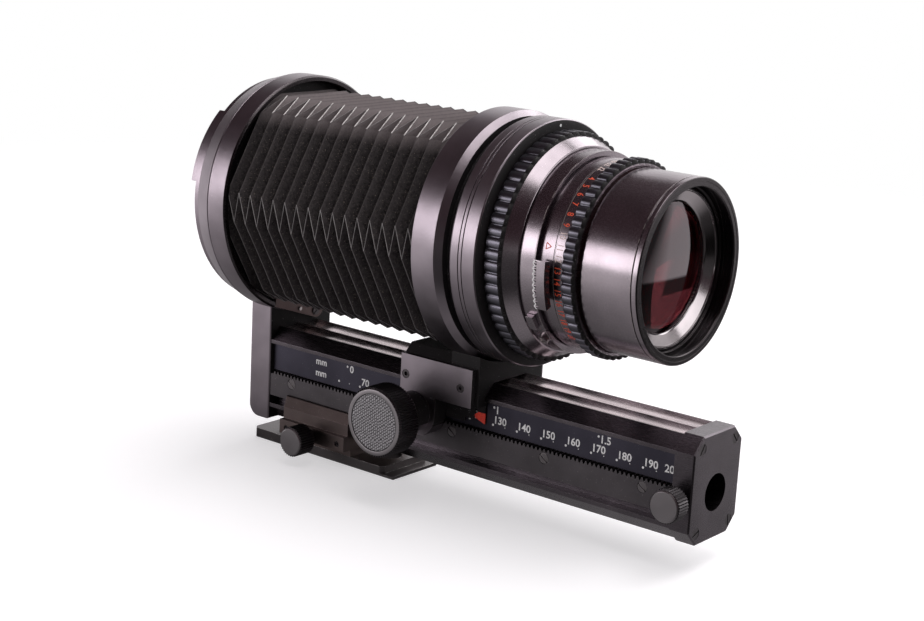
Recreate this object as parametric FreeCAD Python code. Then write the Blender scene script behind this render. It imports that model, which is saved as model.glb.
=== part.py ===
import FreeCAD, Part
import math
import os

# Macro bellows unit: a rail with a fixed camera standard, a rack-driven lens
# standard, a pleated bellows between them, a close-up lens and a tripod clamp.
# Millimetres.  +X runs along the rail towards the subject, +Z is up, and the
# knobs are on the -Y side.  The origin is the tripod socket's mouth, at the
# middle of the tripod foot's underside.

V = FreeCAD.Vector

# ---------------------------------------------------------------- driving sizes

# Clearances
slide_gap = 0.1          # flat faces that slide on each other
run_gap = 0.08           # radial gap of a ring or shaft that turns in its seat
head_gap = 0.1           # round a screw's sunk head
air_gap = 0.3            # parts of different bodies that only pass each other
cut_over = 1.0           # how far a cutting tool passes the face that it opens
hole_spare = 1.0         # how much deeper than its screw a blind hole goes
slot_first_deg = 20.0    # screw slots: the first one's turn and the step to the next
slot_step_deg = 37.0

# Tripod foot and clamp block
foot_lip_t = 1.2         # thin lower plate of the foot
foot_plate_t = 2.65      # upper plate of the foot
foot_half_w = 12.7
foot_rear = 34.3         # from the socket to the foot's rear end
foot_front = 30.0        # from the socket to the upper plate's front end
foot_lip_front = 34.5    # from the socket to the lower plate's front end
foot_corner = 1.6
foot_side_bevel = 0.8
pad_t = 3.2              # raised pad between foot and block
pad_inset = 0.1          # pad's side inside the foot's side
block_half_l = 15.8
pad_end_inset = 1.3      # pad's ends inside the block's ends
block_floor_t = 2.5
block_low_wall = 4.2     # block's sides out from the rail's sides, below the ledge
block_top_wall = 2.2     # and above the ledge
block_lip_wall = 0.9     # and at the jaw's top
block_ledge_rise = 2.7   # ledge above the rail's underside
block_face_rise = 6.8    # top of the upright face above the rail's underside
block_top_rise = 10.9    # top of the jaw above the rail's underside
block_screw_x = 12.5
block_screw_drop = 0.3   # screws and clamp below the rail's underside
block_screw_r = 1.1
block_screw_l = 3.0
block_screw_sink = 0.5
block_screw_socket_r = 0.6
block_screw_socket_l = 0.7
socket_r = 3.175         # quarter-inch tripod thread
socket_bush_r = 6.0
socket_depth = 6.0
large_socket_r = 4.7625  # three-eighths tripod thread
large_socket_x = 22.0
foot_screw_x = 9.5
foot_screw_r = 1.6
foot_screw_head_t = 1.0
foot_screw_sink = 0.2
foot_screw_shank_r = 0.9
foot_screw_bite = 3.0
foot_screw_slot_w = 0.5
foot_screw_slot_l = 0.55

# Rail
rail_half_w = 13.8
rail_half_h = 17.2
rail_chamfer_y = 4.5
rail_chamfer_z = 4.4
rail_rear = -25.3
rail_length = 175.2
channel_outer_y = 8.9    # the two hollows along the rail's top
channel_inner_y = 0.3
channel_depth = 1.1
recess_top = 11.5        # side recess that holds the scale and the rack
recess_floor_y = 11.3
slot_rise = 5.9          # T-slot that the tripod block grips, above the rail's underside
slot_h = 2.6
slot_depth = 1.3         # into the recess's floor
core_r = 6.6             # hollow core of the rail
core_drop = 2.2          # core axis below the rail's centre

# Scale, rack and pinion
scale_t = 1.0
scale_rack_gap = 0.33
scale_top_gap = 0.05
tooth_module = 0.53
rack_pitch_line = 0.67
rack_addendum = 0.35
rack_dedendum = 0.68
rack_slot_gap = 0.5      # rack's lower edge above the T-slot
rack_inset = 0.1         # rack's face inside the rail's side
rack_screw_r = 1.85
rack_screw_head_t = 0.5
rack_screw_z = -2.1
rack_screw_shank_r = 0.9
rack_screw_l = 4.0
rack_screw_xs = (-14.6, 61.1, 100.0, 138.6)
pinion_teeth = 12
pressure_angle = 20.0
tooth_backlash = 0.06    # taken off each tooth's thickness
pinion_shaft_r = 2.2
pinion_face = 1.1

# End plate with its accessory bore
end_plate_t = 7.2
end_plate_over_w = 0.5   # how far the end plate stands out past the rail
end_plate_over_h = 0.7
end_plate_chamfer = 5.0
end_bore_r = 6.2
end_screw_in_y = 4.0     # screws in from the rail's sides
end_screw_in_z = 3.4
end_screw_r = 1.9
end_screw_head_t = 0.7
end_screw_sink = 0.1
end_screw_shank_r = 1.1
end_screw_bite = 5.0     # how far the screws reach into the rail
clamp_screw_r = 1.5
clamp_screw_l = 5.6      # the tripod block's clamp screw into its jaw

# Knobs
focus_knob_r = 12.1
focus_knob_depth = 10.0
focus_knob_ribs = 72
focus_inlay_r = 9.85
focus_inlay_t = 0.8
focus_knob_face_y = -41.0
small_knob_r = 5.45
small_knob_depth = 7.7
small_knob_ribs = 36
small_knob_face_y = -29.0
end_knob_depth = 6.2
end_knob_r = 5.6
end_knob_face_y = -24.5
rib_height = 0.35
lock_knob_r = 7.0
lock_knob_depth = 7.0
lock_knob_stem = 2.5

# Camera standard
ring_rise = 5.4          # camera ring's lowest edge above the rail's top
camera_face_x = -38.6    # the face that meets the camera
post_front = -25.3
post_rear = -35.0
post_over_w = 0.5        # how far the post stands out past the rail
post_over_h = 0.4
post_far_over_w = 4.2    # on the far side the post stands out more
post_seat = 1.0          # how far the post reaches up beside the ring
post_corner = 4.5        # rounding of its rear lower edge
rear_lip_gap = 1.1       # between the bellows' corners and the ring's lip
rear_lip_t = 2.0
rear_ring_seam = -29.6
rear_ring_front = -21.2
rear_ring_wall = 3.0
rear_cover_step = 1.8    # the cover's back edge inside the ring
rear_cover_chamfer = 0.6
rear_opening_gap = 1.0   # the ring's opening round the bellows frame's bore
lip_gap_margin = 2.2     # the lip's gap on each side of the post
flange_t = 1.9
flange_guard_l = 2.3     # raised rim behind the flange, on the near side only
flange_guard_t = 2.0
flange_guard_deg = 39.0
flange_guard_centre_deg = 151.5
bayonet_r = 30.5
bayonet_wall = 3.0
bayonet_length = 4.0
bayonet_lug_h = 2.0
bayonet_lug_t = 1.6
bayonet_lug_deg = 40.0
flange_screw_r = 1.3
flange_screw_count = 4
flange_screw_head_t = 0.9
flange_screw_sink = 0.1
flange_screw_shank_r = 0.7
post_screw_r = 2.4
post_screw_shank_r = 1.2
post_screw_head_t = 2.3
post_screw_sink = 0.3
post_screw_bite = 6.0
post_screw_socket_r = 1.3
post_screw_socket_l = 1.6
post_screw_z = 12.2
cover_plate_t = 1.4
cover_screw_r = 1.7
cover_screw_head_t = 0.5
cover_screw_y = 7.9      # places on the tongue, up from the ring's lowest edge
cover_screw_z = -1.8
coupling_pin_y = -0.7
coupling_pin_z = 0.2
cover_tip_y = 8.6
cover_tip_z = -1.0
cover_tip_r = 3.5
cover_end_y = -13.4
cover_end_low = 2.7
cover_end_high = 5.8
cover_hole_r = 0.8
coupling_pin_r = 0.75
coupling_pin_over = 0.6

# Bellows
pleat_count = 16
ridge_vertex_r = 43.0    # corner of the hexagon through the ridges, untrimmed
pleat_depth = 8.5
ridge_trim = 6.1         # how much each ridge stops short of its corner
valley_half_l = 19.6
fold_lead = 2.0          # from a ridge of one side forward to the next side's ridge
bellows_wall = 1.6       # across the folds, so the sheet itself is about 0.4 thick
bellows_frame_t = 1.5
bellows_frame_inset = 4.0
bellows_frame_rim = 5.77

# Lens standard, measured back from the lens face unless named otherwise
extension_at_rest = 127.0
extension_min = 63.5
extension_max = 202.0
front_lip_gap = 0.3
front_lip_t = 1.8
front_ring_rear = -25.7
front_ring_front = -16.1
front_ring_floor = -22.0
front_ring_cone_l = 2.3  # cone from the front ring's edge down to the groove
front_ring_cone_h = 1.8
mount_groove_depth = 4.2
mount_ring_rear = -10.7
mount_ring_step = 1.1    # the mount ring inside the front ring
mount_ring_wall = 10.3
mount_seams = (-7.1, -5.7)
mount_seam_w = 0.25
mount_seam_depth = 0.3
mount_rear_round = 0.8
mount_front_bevel = 0.35
mount_face_step = 1.9
carriage_rear = -45.9
carriage_front = -13.7
carriage_wall = 4.0      # the saddle's sides out from the rail's sides
carriage_side_t = 2.2
carriage_side_front = -14.9
carriage_hook_t = 1.5
carriage_top_wall = 8.9  # the saddle's top above the rail's top
carriage_chamfer = 3.0
cradle_seat = 2.0        # how far the cradle reaches up beside the ring
side_screw_xs = (-43.6, -19.7)
side_screw_z = 16.0
side_screw_r = 1.5
pinion_x = -39.2
bearing_r = 7.0
bearing_block_half = 9.0
bearing_block_drop = 4.2
bearing_outer_y = -30.6
pointer_index = -13.9
pointer_length = 5.1
pointer_low = 3.4
pointer_high = 7.2
pointer_t = 0.6
lock_x = -30.0
lock_z = 17.0
lock_screw_r = 2.0

# Lens, measured forward from the lens face
lens_rear = -24.0
lens_rear_gap = 2.0      # the lens's rear end inside the bellows frame
lens_bore_r = 16.0
shutter_rear = 0.7
shutter_lobed_end = 6.8
shutter_end = 11.1
shutter_seat_step = 0.9  # seat below the middle barrel, which keeps the ring on
shutter_ring_step = 4.85
shutter_lobe_count = 62
shutter_band_step = 2.05
lobe_depth = 0.75
mid_barrel_r = 33.3
mid_barrel_end = 17.2
index_groove_depth = 0.9
index_rear = 18.1
index_step = 1.8
index_end = 22.6
aperture_rear = 22.7
aperture_seat_step = 1.8 # seat below the front barrel, which keeps the ring on
aperture_lobed_start = 26.6
aperture_end = 31.1
aperture_lobe_h = 1.3
aperture_lobe_count = 56
front_barrel_rear = 31.5
front_barrel_step = 1.5
front_barrel_front = 52.8
front_bay_wall = 1.4
front_bay_depth = 5.0
front_spigot_step = 6.0
front_spigot_l = 6.0
name_ring_step = 3.1     # name ring inside the bay's wall
name_ring_w = 3.9
name_ring_t = 3.7
front_glass_inset = 4.5  # glass inside the name ring's rim
front_glass_t = 4.5
front_glass_bulge = 1.6
inner_glass_r = 14.5
inner_glass_t = 5.0
rear_glass_r = 18.5
rear_glass_t = 4.0
retaining_ring_t = 2.0
inner_glass_x = 21.0
iris_x = 15.0
iris_clear_r = 13.5
iris_blade_count = 5
iris_blade_t = 0.12
iris_open_r = 11.0
iris_seat_r = 20.5
iris_seat_w = 2.4
mid_spigot_wall = 5.4
mid_spigot_l = 5.0
tab_deg = 25.5
tab_centre_deg = 188.3
tab_height = 2.6
tab_rear = 18.4
tab_length = 4.6
tab_teeth = 9
tab_travel = 1.0
tab_stem_x = 19.4
tab_stem_w = 1.0
tab_stem_deg = 16.0
tab_stem_depth = 1.1     # into the index ring
lever_deg = 9.0
lever_centre_deg = 214.0
lever_height = 1.7
lever_rear = 12.6
lever_length = 2.8
sync_socket_x = 14.6
sync_socket_r = 1.7
sync_socket_height = 1.4
sync_socket_depth = 2.0
socket_centre_deg = 229.0

# ---------------------------------------------------------------- derived places

rail_z = foot_lip_t + foot_plate_t + pad_t + block_floor_t + slide_gap + rail_half_h
core_z = rail_z - core_drop
rail_front = rail_rear + rail_length
rail_low = -rail_half_h
end_x = rail_front + end_plate_t
end_plate_half_w = rail_half_w + end_plate_over_w
end_plate_half_h = rail_half_h + end_plate_over_h
end_screw_y = rail_half_w - end_screw_in_y
end_screw_z = rail_half_h - end_screw_in_z

slot_bottom = rail_low + slot_rise
slot_top = slot_bottom + slot_h
slot_floor_y = recess_floor_y - slot_depth
rack_face_y = rail_half_w - rack_inset
rack_bottom = slot_top + rack_slot_gap
scale_bottom = rack_pitch_line + rack_addendum + scale_rack_gap

ridge_apothem = ridge_vertex_r * math.cos(math.pi / 6)
ridge_half_l = ridge_vertex_r / 2 - ridge_trim
bellows_corner_r = math.hypot(ridge_apothem, ridge_half_l)
bellows_frame_r = ridge_vertex_r - bellows_frame_inset
bellows_frame_bore_r = bellows_frame_r * math.cos(math.pi / 6) - bellows_frame_rim

rear_ring_lip_r = bellows_corner_r + rear_lip_gap
rear_ring_r = rear_ring_lip_r + rear_lip_t
axis_rise = rail_half_h + ring_rise + rear_ring_r
axis_z = rail_z + axis_rise
rear_opening_r = bellows_frame_bore_r + rear_opening_gap
rear_cover_r = rear_ring_r - rear_cover_step
flange_r = rear_cover_r - rear_cover_chamfer
bayonet_bore_r = bayonet_r - bayonet_wall
bayonet_lug_r = bayonet_r + bayonet_lug_h
flange_screw_circle = (flange_r + bayonet_r) / 2
post_half_w = rail_half_w + post_over_w
post_bottom = rail_low - post_over_h
post_top = axis_rise - math.sqrt(rear_ring_r ** 2 - post_half_w ** 2) + post_seat
lip_gap_half = post_half_w + lip_gap_margin
ring_low = rail_half_h + ring_rise

lens_face_x = camera_face_x + extension_at_rest
front_ring_lip_r = bellows_corner_r + front_lip_gap
front_ring_r = front_ring_lip_r + front_lip_t
mount_groove_r = front_ring_r - mount_groove_depth
mount_ring_r = front_ring_r - mount_ring_step
mount_face_r = mount_ring_r - mount_face_step
mount_ring_bore_r = mount_ring_r - mount_ring_wall
lens_rear_r = bellows_frame_bore_r - lens_rear_gap
carriage_half_w = rail_half_w + carriage_wall
carriage_face_y = carriage_half_w + carriage_side_t
hook_top = recess_top - slide_gap
hook_y = recess_floor_y + scale_t + air_gap
carriage_bottom = hook_top - carriage_hook_t
carriage_top = rail_half_h + carriage_top_wall
cradle_top = axis_rise - math.sqrt(front_ring_r ** 2 - carriage_half_w ** 2) + cradle_seat

pinion_cx = lens_face_x + pinion_x
pinion_pitch_r = tooth_module * pinion_teeth / 2
pinion_z = rail_z + rack_pitch_line + pinion_pitch_r
block_low_z = rail_z - rail_half_h - slide_gap - block_floor_t
block_low_half_w = rail_half_w + block_low_wall
block_screw_z = rail_z + rail_low - block_screw_drop
bellows_rear = rear_ring_seam + rear_ring_wall + bellows_frame_t
bellows_front = lens_face_x + front_ring_floor - bellows_frame_t
pleat_pitch = (bellows_front - bellows_rear - fold_lead) / pleat_count

shutter_lobe_r = mid_barrel_r + shutter_ring_step
shutter_seat_r = mid_barrel_r - shutter_seat_step
mid_spigot_r = shutter_seat_r - mid_spigot_wall
shutter_band_r = shutter_lobe_r - shutter_band_step
index_r = mid_barrel_r - index_step
index_groove_r = index_r - index_groove_depth
tab_stem_r = index_r - tab_stem_depth
front_barrel_r = index_r - front_barrel_step
aperture_seat_r = front_barrel_r - aperture_seat_step
aperture_lobe_r = index_r + aperture_lobe_h
front_bay_r = front_barrel_r - front_bay_wall
front_spigot_r = front_barrel_r - front_spigot_step
name_ring_outer_r = front_bay_r - name_ring_step
name_ring_inner_r = name_ring_outer_r - name_ring_w
front_glass_r = name_ring_outer_r - front_glass_inset


# ---------------------------------------------------------------- small tools

def box(x0, x1, y0, y1, z0, z1):
    return Part.makeBox(x1 - x0, y1 - y0, z1 - z0, V(x0, y0, z0))


def rod_x(x0, x1, r, y, z):
    return Part.makeCylinder(r, x1 - x0, V(x0, y, z), V(1, 0, 0))


def rod_y(y0, y1, r, x, z):
    return Part.makeCylinder(r, y1 - y0, V(x, y0, z), V(0, 1, 0))


def rod_z(z0, z1, r, x, y):
    return Part.makeCylinder(r, z1 - z0, V(x, y, z0), V(0, 0, 1))


def polygon(points):
    return Part.Face(Part.makePolygon(list(points) + [points[0]]))


def along_x(section, x0, x1):
    """A section of (y, z) points about the rail's centre, drawn out along X."""
    face = polygon([V(x0, y, rail_z + z) for y, z in section])
    return face.extrude(V(x1 - x0, 0, 0))


def turned(profile, about_z=None):
    """A closed profile of (x, r) points turned about the optical axis."""
    z = axis_z if about_z is None else about_z
    face = polygon([V(x, 0, z + r) for x, r in profile])
    return face.revolve(V(0, 0, z), V(1, 0, 0), 360)


def tube(x0, x1, outer, inner):
    return turned([(x0, inner), (x0, outer), (x1, outer), (x1, inner)])


def mirrored(points):
    """Points listed from the -Y side to the middle, continued on the +Y side."""
    return list(points) + [(-y, z) for y, z in reversed(points) if y != 0]


def ribbed_disc(r, ribs, y0, y1, x, z):
    """A knob body with straight V ribs, its axis along Y."""
    points = []
    for i in range(2 * ribs):
        a = math.pi * i / ribs
        rr = r if i % 2 == 0 else r - rib_height
        points.append(V(x + rr * math.cos(a), y0, z + rr * math.sin(a)))
    return polygon(points).extrude(V(0, y1 - y0, 0))


def lobed_ring(x0, x1, r, lobes, bore):
    """A grip ring with rounded lobes about the optical axis."""
    edges = []
    step = 2 * math.pi / lobes

    def at(angle, radius):
        return V(x0, radius * math.cos(angle), axis_z + radius * math.sin(angle))

    for i in range(lobes):
        a = i * step
        edges.append(Part.Arc(at(a, r - lobe_depth), at(a + step / 2, r), at(a + step, r - lobe_depth)).toShape())
    body = Part.Face(Part.Wire(edges)).extrude(V(x1 - x0, 0, 0))
    return body.cut(rod_x(x0 - cut_over, x1 + cut_over, bore, 0, axis_z))


def slotted_head_y(x, z, y_face, r, head_t, shank_r, shank_l, inward=1):
    """A slotted screw whose head is at y_face and whose shank runs inward along Y."""
    y1 = y_face + inward * head_t
    y2 = y1 + inward * shank_l
    head = rod_y(min(y_face, y1), max(y_face, y1), r, x, z)
    shank = rod_y(min(y1, y2), max(y1, y2), shank_r, x, z)
    slot_d = head_t * 0.6
    y_slot = y_face + inward * slot_d
    low, high = sorted((y_face - inward * cut_over, y_slot))
    slot = box(x - r - cut_over, x + r + cut_over, low, high, z - r * 0.14, z + r * 0.14)
    slot.rotate(V(x, 0, z), V(0, 1, 0), 35)
    return head.fuse(shank).cut(slot).removeSplitter()


def slotted_head_x(x_face, y, z, r, head_t, shank_r, shank_l, turn, inward=-1):
    x1 = x_face + inward * head_t
    x2 = x1 + inward * shank_l
    head = rod_x(min(x_face, x1), max(x_face, x1), r, y, z)
    shank = rod_x(min(x1, x2), max(x1, x2), shank_r, y, z)
    low, high = sorted((x_face - inward * cut_over, x_face + inward * head_t * 0.6))
    slot = box(low, high, y - r - cut_over, y + r + cut_over, z - r * 0.14, z + r * 0.14)
    slot.rotate(V(0, y, z), V(1, 0, 0), turn)
    return head.fuse(shank).cut(slot).removeSplitter()


def hex_socket_y(x, z, y0, y1, r):
    """A hexagon socket between two Y planes."""
    points = [V(x + r * math.cos(math.pi * k / 3), y0, z + r * math.sin(math.pi * k / 3)) for k in range(6)]
    return polygon(points).extrude(V(0, y1 - y0, 0))


def group(solids):
    return Part.makeCompound(list(solids))


# ---------------------------------------------------------------- rail

def rail_section():
    """The rail's outline, from the lower middle up the -Y side to the top."""
    w, h = rail_half_w, rail_half_h
    return [
        (-(w - rail_chamfer_y), -h),
        (-w, -h + rail_chamfer_z),
        (-w, slot_bottom),
        (-slot_floor_y, slot_bottom),
        (-slot_floor_y, slot_top),
        (-recess_floor_y, slot_top),
        (-recess_floor_y, recess_top),
        (-w, recess_top),
        (-w, h - rail_chamfer_z),
        (-(w - rail_chamfer_y), h),
    ]


def top_channel(side):
    """One shallow hollow along the rail's top, as a tool to cut away."""
    y0, y1 = side * channel_inner_y, side * channel_outer_y
    top = rail_z + rail_half_h
    a, b = V(rail_rear - cut_over, y0, top), V(rail_rear - cut_over, y1, top)
    low = V(rail_rear - cut_over, (y0 + y1) / 2, top - channel_depth)
    wire = Part.Wire([Part.Arc(a, low, b).toShape(), Part.LineSegment(b, a).toShape()])
    return Part.Face(wire).extrude(V(rail_length + 2 * cut_over, 0, 0))


def rack_screw_holes(y0, y1):
    return [rod_y(y0, y1, rack_screw_shank_r, x, rail_z + rack_screw_z) for x in rack_screw_xs]


def make_rail():
    rail = along_x(mirrored(rail_section()), rail_rear, rail_front)
    for side in (-1, 1):
        rail = rail.cut(top_channel(side))
    rail = rail.cut(rod_x(rail_rear - cut_over, rail_front + cut_over, core_r, 0, core_z))
    for y in (-end_screw_y, end_screw_y):
        for z in (-end_screw_z, end_screw_z):
            hole_x = rail_front - end_screw_bite - hole_spare
            rail = rail.cut(rod_x(hole_x, rail_front + cut_over, end_screw_shank_r, y, rail_z + z))
    for z in post_screw_heights():
        hole_x = rail_rear + post_screw_bite + hole_spare
        rail = rail.cut(rod_x(rail_rear - cut_over, hole_x, post_screw_shank_r, 0, z))
    deepest = -rack_face_y + rack_screw_head_t + rack_screw_l + hole_spare
    for hole in rack_screw_holes(-rack_face_y, deepest):
        rail = rail.cut(hole)
    return rail


def make_scale_strip():
    y = -recess_floor_y - scale_t
    return box(rail_rear, rail_front, y, -recess_floor_y, rail_z + scale_bottom, rail_z + recess_top - scale_top_gap)


def rack_tooth(x):
    """One rack tooth about its centre line x, as (x, z) points from its root up and down again."""
    slope = math.tan(math.radians(pressure_angle))
    half_pitch_line = math.pi * tooth_module / 4 - tooth_backlash
    root = rack_pitch_line - rack_dedendum
    tip = rack_pitch_line + rack_addendum
    half_root = half_pitch_line + rack_dedendum * slope
    half_tip = half_pitch_line - rack_addendum * slope
    return [(x - half_root, root), (x - half_tip, tip), (x + half_tip, tip), (x + half_root, root)]


def make_rack():
    """The toothed bar.  A tooth space lies under the pinion's axis."""
    pitch = math.pi * tooth_module
    phase = pinion_cx + pitch / 2
    root = rack_pitch_line - rack_dedendum
    first = math.ceil((rail_rear + 1.0 - phase) / pitch)
    last = math.floor((rail_front - 1.0 - phase) / pitch)
    points = [(rail_rear, rack_bottom), (rail_rear, root)]
    for k in range(first, last + 1):
        points += rack_tooth(phase + k * pitch)
    points += [(rail_front, root), (rail_front, rack_bottom)]
    face = polygon([V(x, -rack_face_y, rail_z + z) for x, z in points])
    bar = face.extrude(V(0, rack_face_y - recess_floor_y, 0))
    for x in rack_screw_xs:
        z = rail_z + rack_screw_z
        bar = bar.cut(rod_y(-rack_face_y - cut_over, -rack_face_y + rack_screw_head_t, rack_screw_r + head_gap, x, z))
    for hole in rack_screw_holes(-rack_face_y - cut_over, -recess_floor_y + cut_over):
        bar = bar.cut(hole)
    return bar


def make_rack_screws():
    z = rail_z + rack_screw_z
    return group(
        slotted_head_y(x, z, -rack_face_y, rack_screw_r, rack_screw_head_t, rack_screw_shank_r, rack_screw_l)
        for x in rack_screw_xs
    )


def octagon(half_w, half_h, corner):
    return [
        (-half_w + corner, -half_h), (-half_w, -half_h + corner),
        (-half_w, half_h - corner), (-half_w + corner, half_h),
        (half_w - corner, half_h), (half_w, half_h - corner),
        (half_w, -half_h + corner), (half_w - corner, -half_h),
    ]


def end_screw_places():
    return [(y, rail_z + z) for y in (-end_screw_y, end_screw_y) for z in (-end_screw_z, end_screw_z)]


def make_end_plate():
    plate = along_x(octagon(end_plate_half_w, end_plate_half_h, end_plate_chamfer), rail_front, end_x)
    plate = plate.makeChamfer(0.5, [e for e in plate.Edges if e.BoundBox.XMin > end_x - 0.01])
    plate = plate.cut(rod_x(rail_front - cut_over, end_x + cut_over, end_bore_r, 0, core_z))
    for y, z in end_screw_places():
        plate = plate.cut(rod_x(end_x - end_screw_head_t, end_x + cut_over, end_screw_r + head_gap, y, z))
        plate = plate.cut(rod_x(rail_front - cut_over, end_x, end_screw_shank_r, y, z))
    knob_x = rail_front + end_plate_t / 2
    plate = plate.cut(rod_y(-end_plate_half_w - cut_over, -end_bore_r + 1.0, clamp_screw_r + run_gap, knob_x, core_z))
    return plate


def make_end_plate_screws():
    return group(
        slotted_head_x(
            end_x - end_screw_sink, y, z, end_screw_r, end_screw_head_t - end_screw_sink, end_screw_shank_r,
            end_plate_t - end_screw_head_t + end_screw_bite, slot_first_deg + slot_step_deg * i
        )
        for i, (y, z) in enumerate(end_screw_places())
    )


# ---------------------------------------------------------------- camera standard

def rear_ring_envelope():
    """The space that the rear ring and its cover fill, for seating the post."""
    return turned([
        (camera_face_x + flange_t, 0), (camera_face_x + flange_t, rear_cover_r - rear_cover_chamfer),
        (camera_face_x + flange_t + rear_cover_chamfer, rear_cover_r), (rear_ring_seam - 0.25, rear_ring_r),
        (rear_ring_front, rear_ring_r), (rear_ring_front, 0),
    ])


def make_rear_post():
    far_w = rail_half_w + post_far_over_w
    post = box(post_rear, post_front, -post_half_w, far_w, rail_z + post_bottom, rail_z + post_top)
    lower = [
        e for e in post.Edges
        if e.BoundBox.ZMax < rail_z + post_bottom + 0.1 and e.BoundBox.XMax < post_rear + 0.1
    ]
    post = post.makeFillet(post_corner, lower)
    rim = [e for e in post.Edges if abs(e.BoundBox.XMin - post_front) < 0.01 and abs(e.BoundBox.XMax - post_front) < 0.01]
    post = post.makeFillet(0.8, [e for e in rim if e.BoundBox.ZMin < rail_z + post_top - 0.1])
    post = post.cut(rear_ring_envelope())
    for z in post_screw_heights():
        head_end = post_rear + post_screw_sink + post_screw_head_t
        post = post.cut(rod_x(post_rear - cut_over, head_end, post_screw_r + head_gap, 0, z))
        post = post.cut(rod_x(post_rear, post_front + cut_over, post_screw_shank_r, 0, z))
    return post


def post_screw_heights():
    return [rail_z - post_screw_z, rail_z + post_screw_z]


def make_post_screws():
    screws = []
    for z in post_screw_heights():
        head_end = post_rear + post_screw_sink + post_screw_head_t
        head = rod_x(post_rear + post_screw_sink, head_end, post_screw_r, 0, z)
        shank = rod_x(head_end, post_front + post_screw_bite, post_screw_shank_r, 0, z)
        r = post_screw_socket_r
        points = [V(post_rear, r * math.cos(k * math.pi / 3), z + r * math.sin(k * math.pi / 3)) for k in range(6)]
        screws.append(head.fuse(shank).cut(polygon(points).extrude(V(post_screw_socket_l, 0, 0))))
    return group(screws)


def make_rear_ring():
    """Shallow cup round the bellows, its lip cut away in front of the post."""
    wall_front = rear_ring_seam + rear_ring_wall
    ring = turned([
        (rear_ring_seam, rear_opening_r), (rear_ring_seam, rear_ring_r - 0.25), (rear_ring_seam + 0.25, rear_ring_r),
        (rear_ring_front - 0.6, rear_ring_r), (rear_ring_front, rear_ring_r - 0.6),
        (rear_ring_front, rear_ring_lip_r), (wall_front, rear_ring_lip_r), (wall_front, rear_opening_r),
    ])
    gap = box(post_front, rear_ring_front + cut_over, -lip_gap_half, lip_gap_half, rail_z, axis_z - ridge_apothem)
    return ring.cut(gap)


def make_rear_cover():
    back = camera_face_x + flange_t
    return turned([
        (back, bayonet_r), (back, rear_cover_r - rear_cover_chamfer), (back + rear_cover_chamfer, rear_cover_r),
        (rear_ring_seam - 0.25, rear_ring_r), (rear_ring_seam, rear_ring_r - 0.25), (rear_ring_seam, bayonet_r),
    ])


def wedge_tool(centre_deg, width_deg, x0, x1, reach):
    """A slice of a disc about the optical axis, centre_deg from +Y towards +Z."""
    a0 = math.radians(centre_deg - width_deg / 2)
    a1 = math.radians(centre_deg + width_deg / 2)
    points = [V(x0, 0, axis_z)]
    points += [
        V(x0, reach * math.cos(a0 + (a1 - a0) * i / 4), axis_z + reach * math.sin(a0 + (a1 - a0) * i / 4))
        for i in range(5)
    ]
    return polygon(points).extrude(V(x1 - x0, 0, 0))


def make_camera_flange():
    """Flat ring that meets the camera, with a bayonet collar and three lugs behind it."""
    back = camera_face_x
    flange = tube(back, back + flange_t, flange_r, bayonet_bore_r)
    collar = tube(back - bayonet_length, back, bayonet_r, bayonet_bore_r)
    flange = flange.fuse(collar)
    lug_ring = tube(back - bayonet_length, back - bayonet_length + bayonet_lug_t, bayonet_lug_r, bayonet_r - 0.5)
    for k in range(3):
        lug = lug_ring.common(
            wedge_tool(90 + 120 * k, bayonet_lug_deg, back - bayonet_length, back, bayonet_lug_r * 1.3)
        )
        flange = flange.fuse(lug)
    guard = tube(back - flange_guard_l, back + 0.5, flange_r, flange_r - flange_guard_t).common(
        wedge_tool(flange_guard_centre_deg, flange_guard_deg, back - flange_guard_l, back + 0.5, flange_r * 1.3)
    )
    flange = flange.fuse(guard)
    for y, z in flange_screw_places():
        flange = flange.cut(rod_x(back - cut_over, back + flange_screw_head_t, flange_screw_r + head_gap, y, z))
        flange = flange.cut(rod_x(back, back + flange_t + cut_over, flange_screw_shank_r, y, z))
    return flange.removeSplitter()


def flange_screw_places():
    places = []
    for k in range(flange_screw_count):
        a = math.pi * (2 * k + 1) / flange_screw_count
        places.append((flange_screw_circle * math.cos(a), axis_z + flange_screw_circle * math.sin(a)))
    return places


def make_flange_screws():
    back = camera_face_x
    return group(
        slotted_head_x(
            back + flange_screw_sink, y, z, flange_screw_r, flange_screw_head_t - flange_screw_sink,
            flange_screw_shank_r, flange_t - flange_screw_head_t, slot_first_deg + slot_step_deg * i, inward=1
        )
        for i, (y, z) in enumerate(flange_screw_places())
    )


def hexagon_points(x, vertex_r):
    """Corners of the bellows' hexagon, flats above and below."""
    points = []
    for k in range(6):
        a = k * math.pi / 3
        points.append(V(x, vertex_r * math.cos(a), axis_z + vertex_r * math.sin(a)))
    return points


def bellows_frame(x0):
    """The thin frame that clamps one end of the bellows."""
    frame = polygon(hexagon_points(x0, bellows_frame_r)).extrude(V(bellows_frame_t, 0, 0))
    return frame.cut(rod_x(x0 - cut_over, x0 + bellows_frame_t + cut_over, bellows_frame_bore_r, 0, axis_z))


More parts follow.
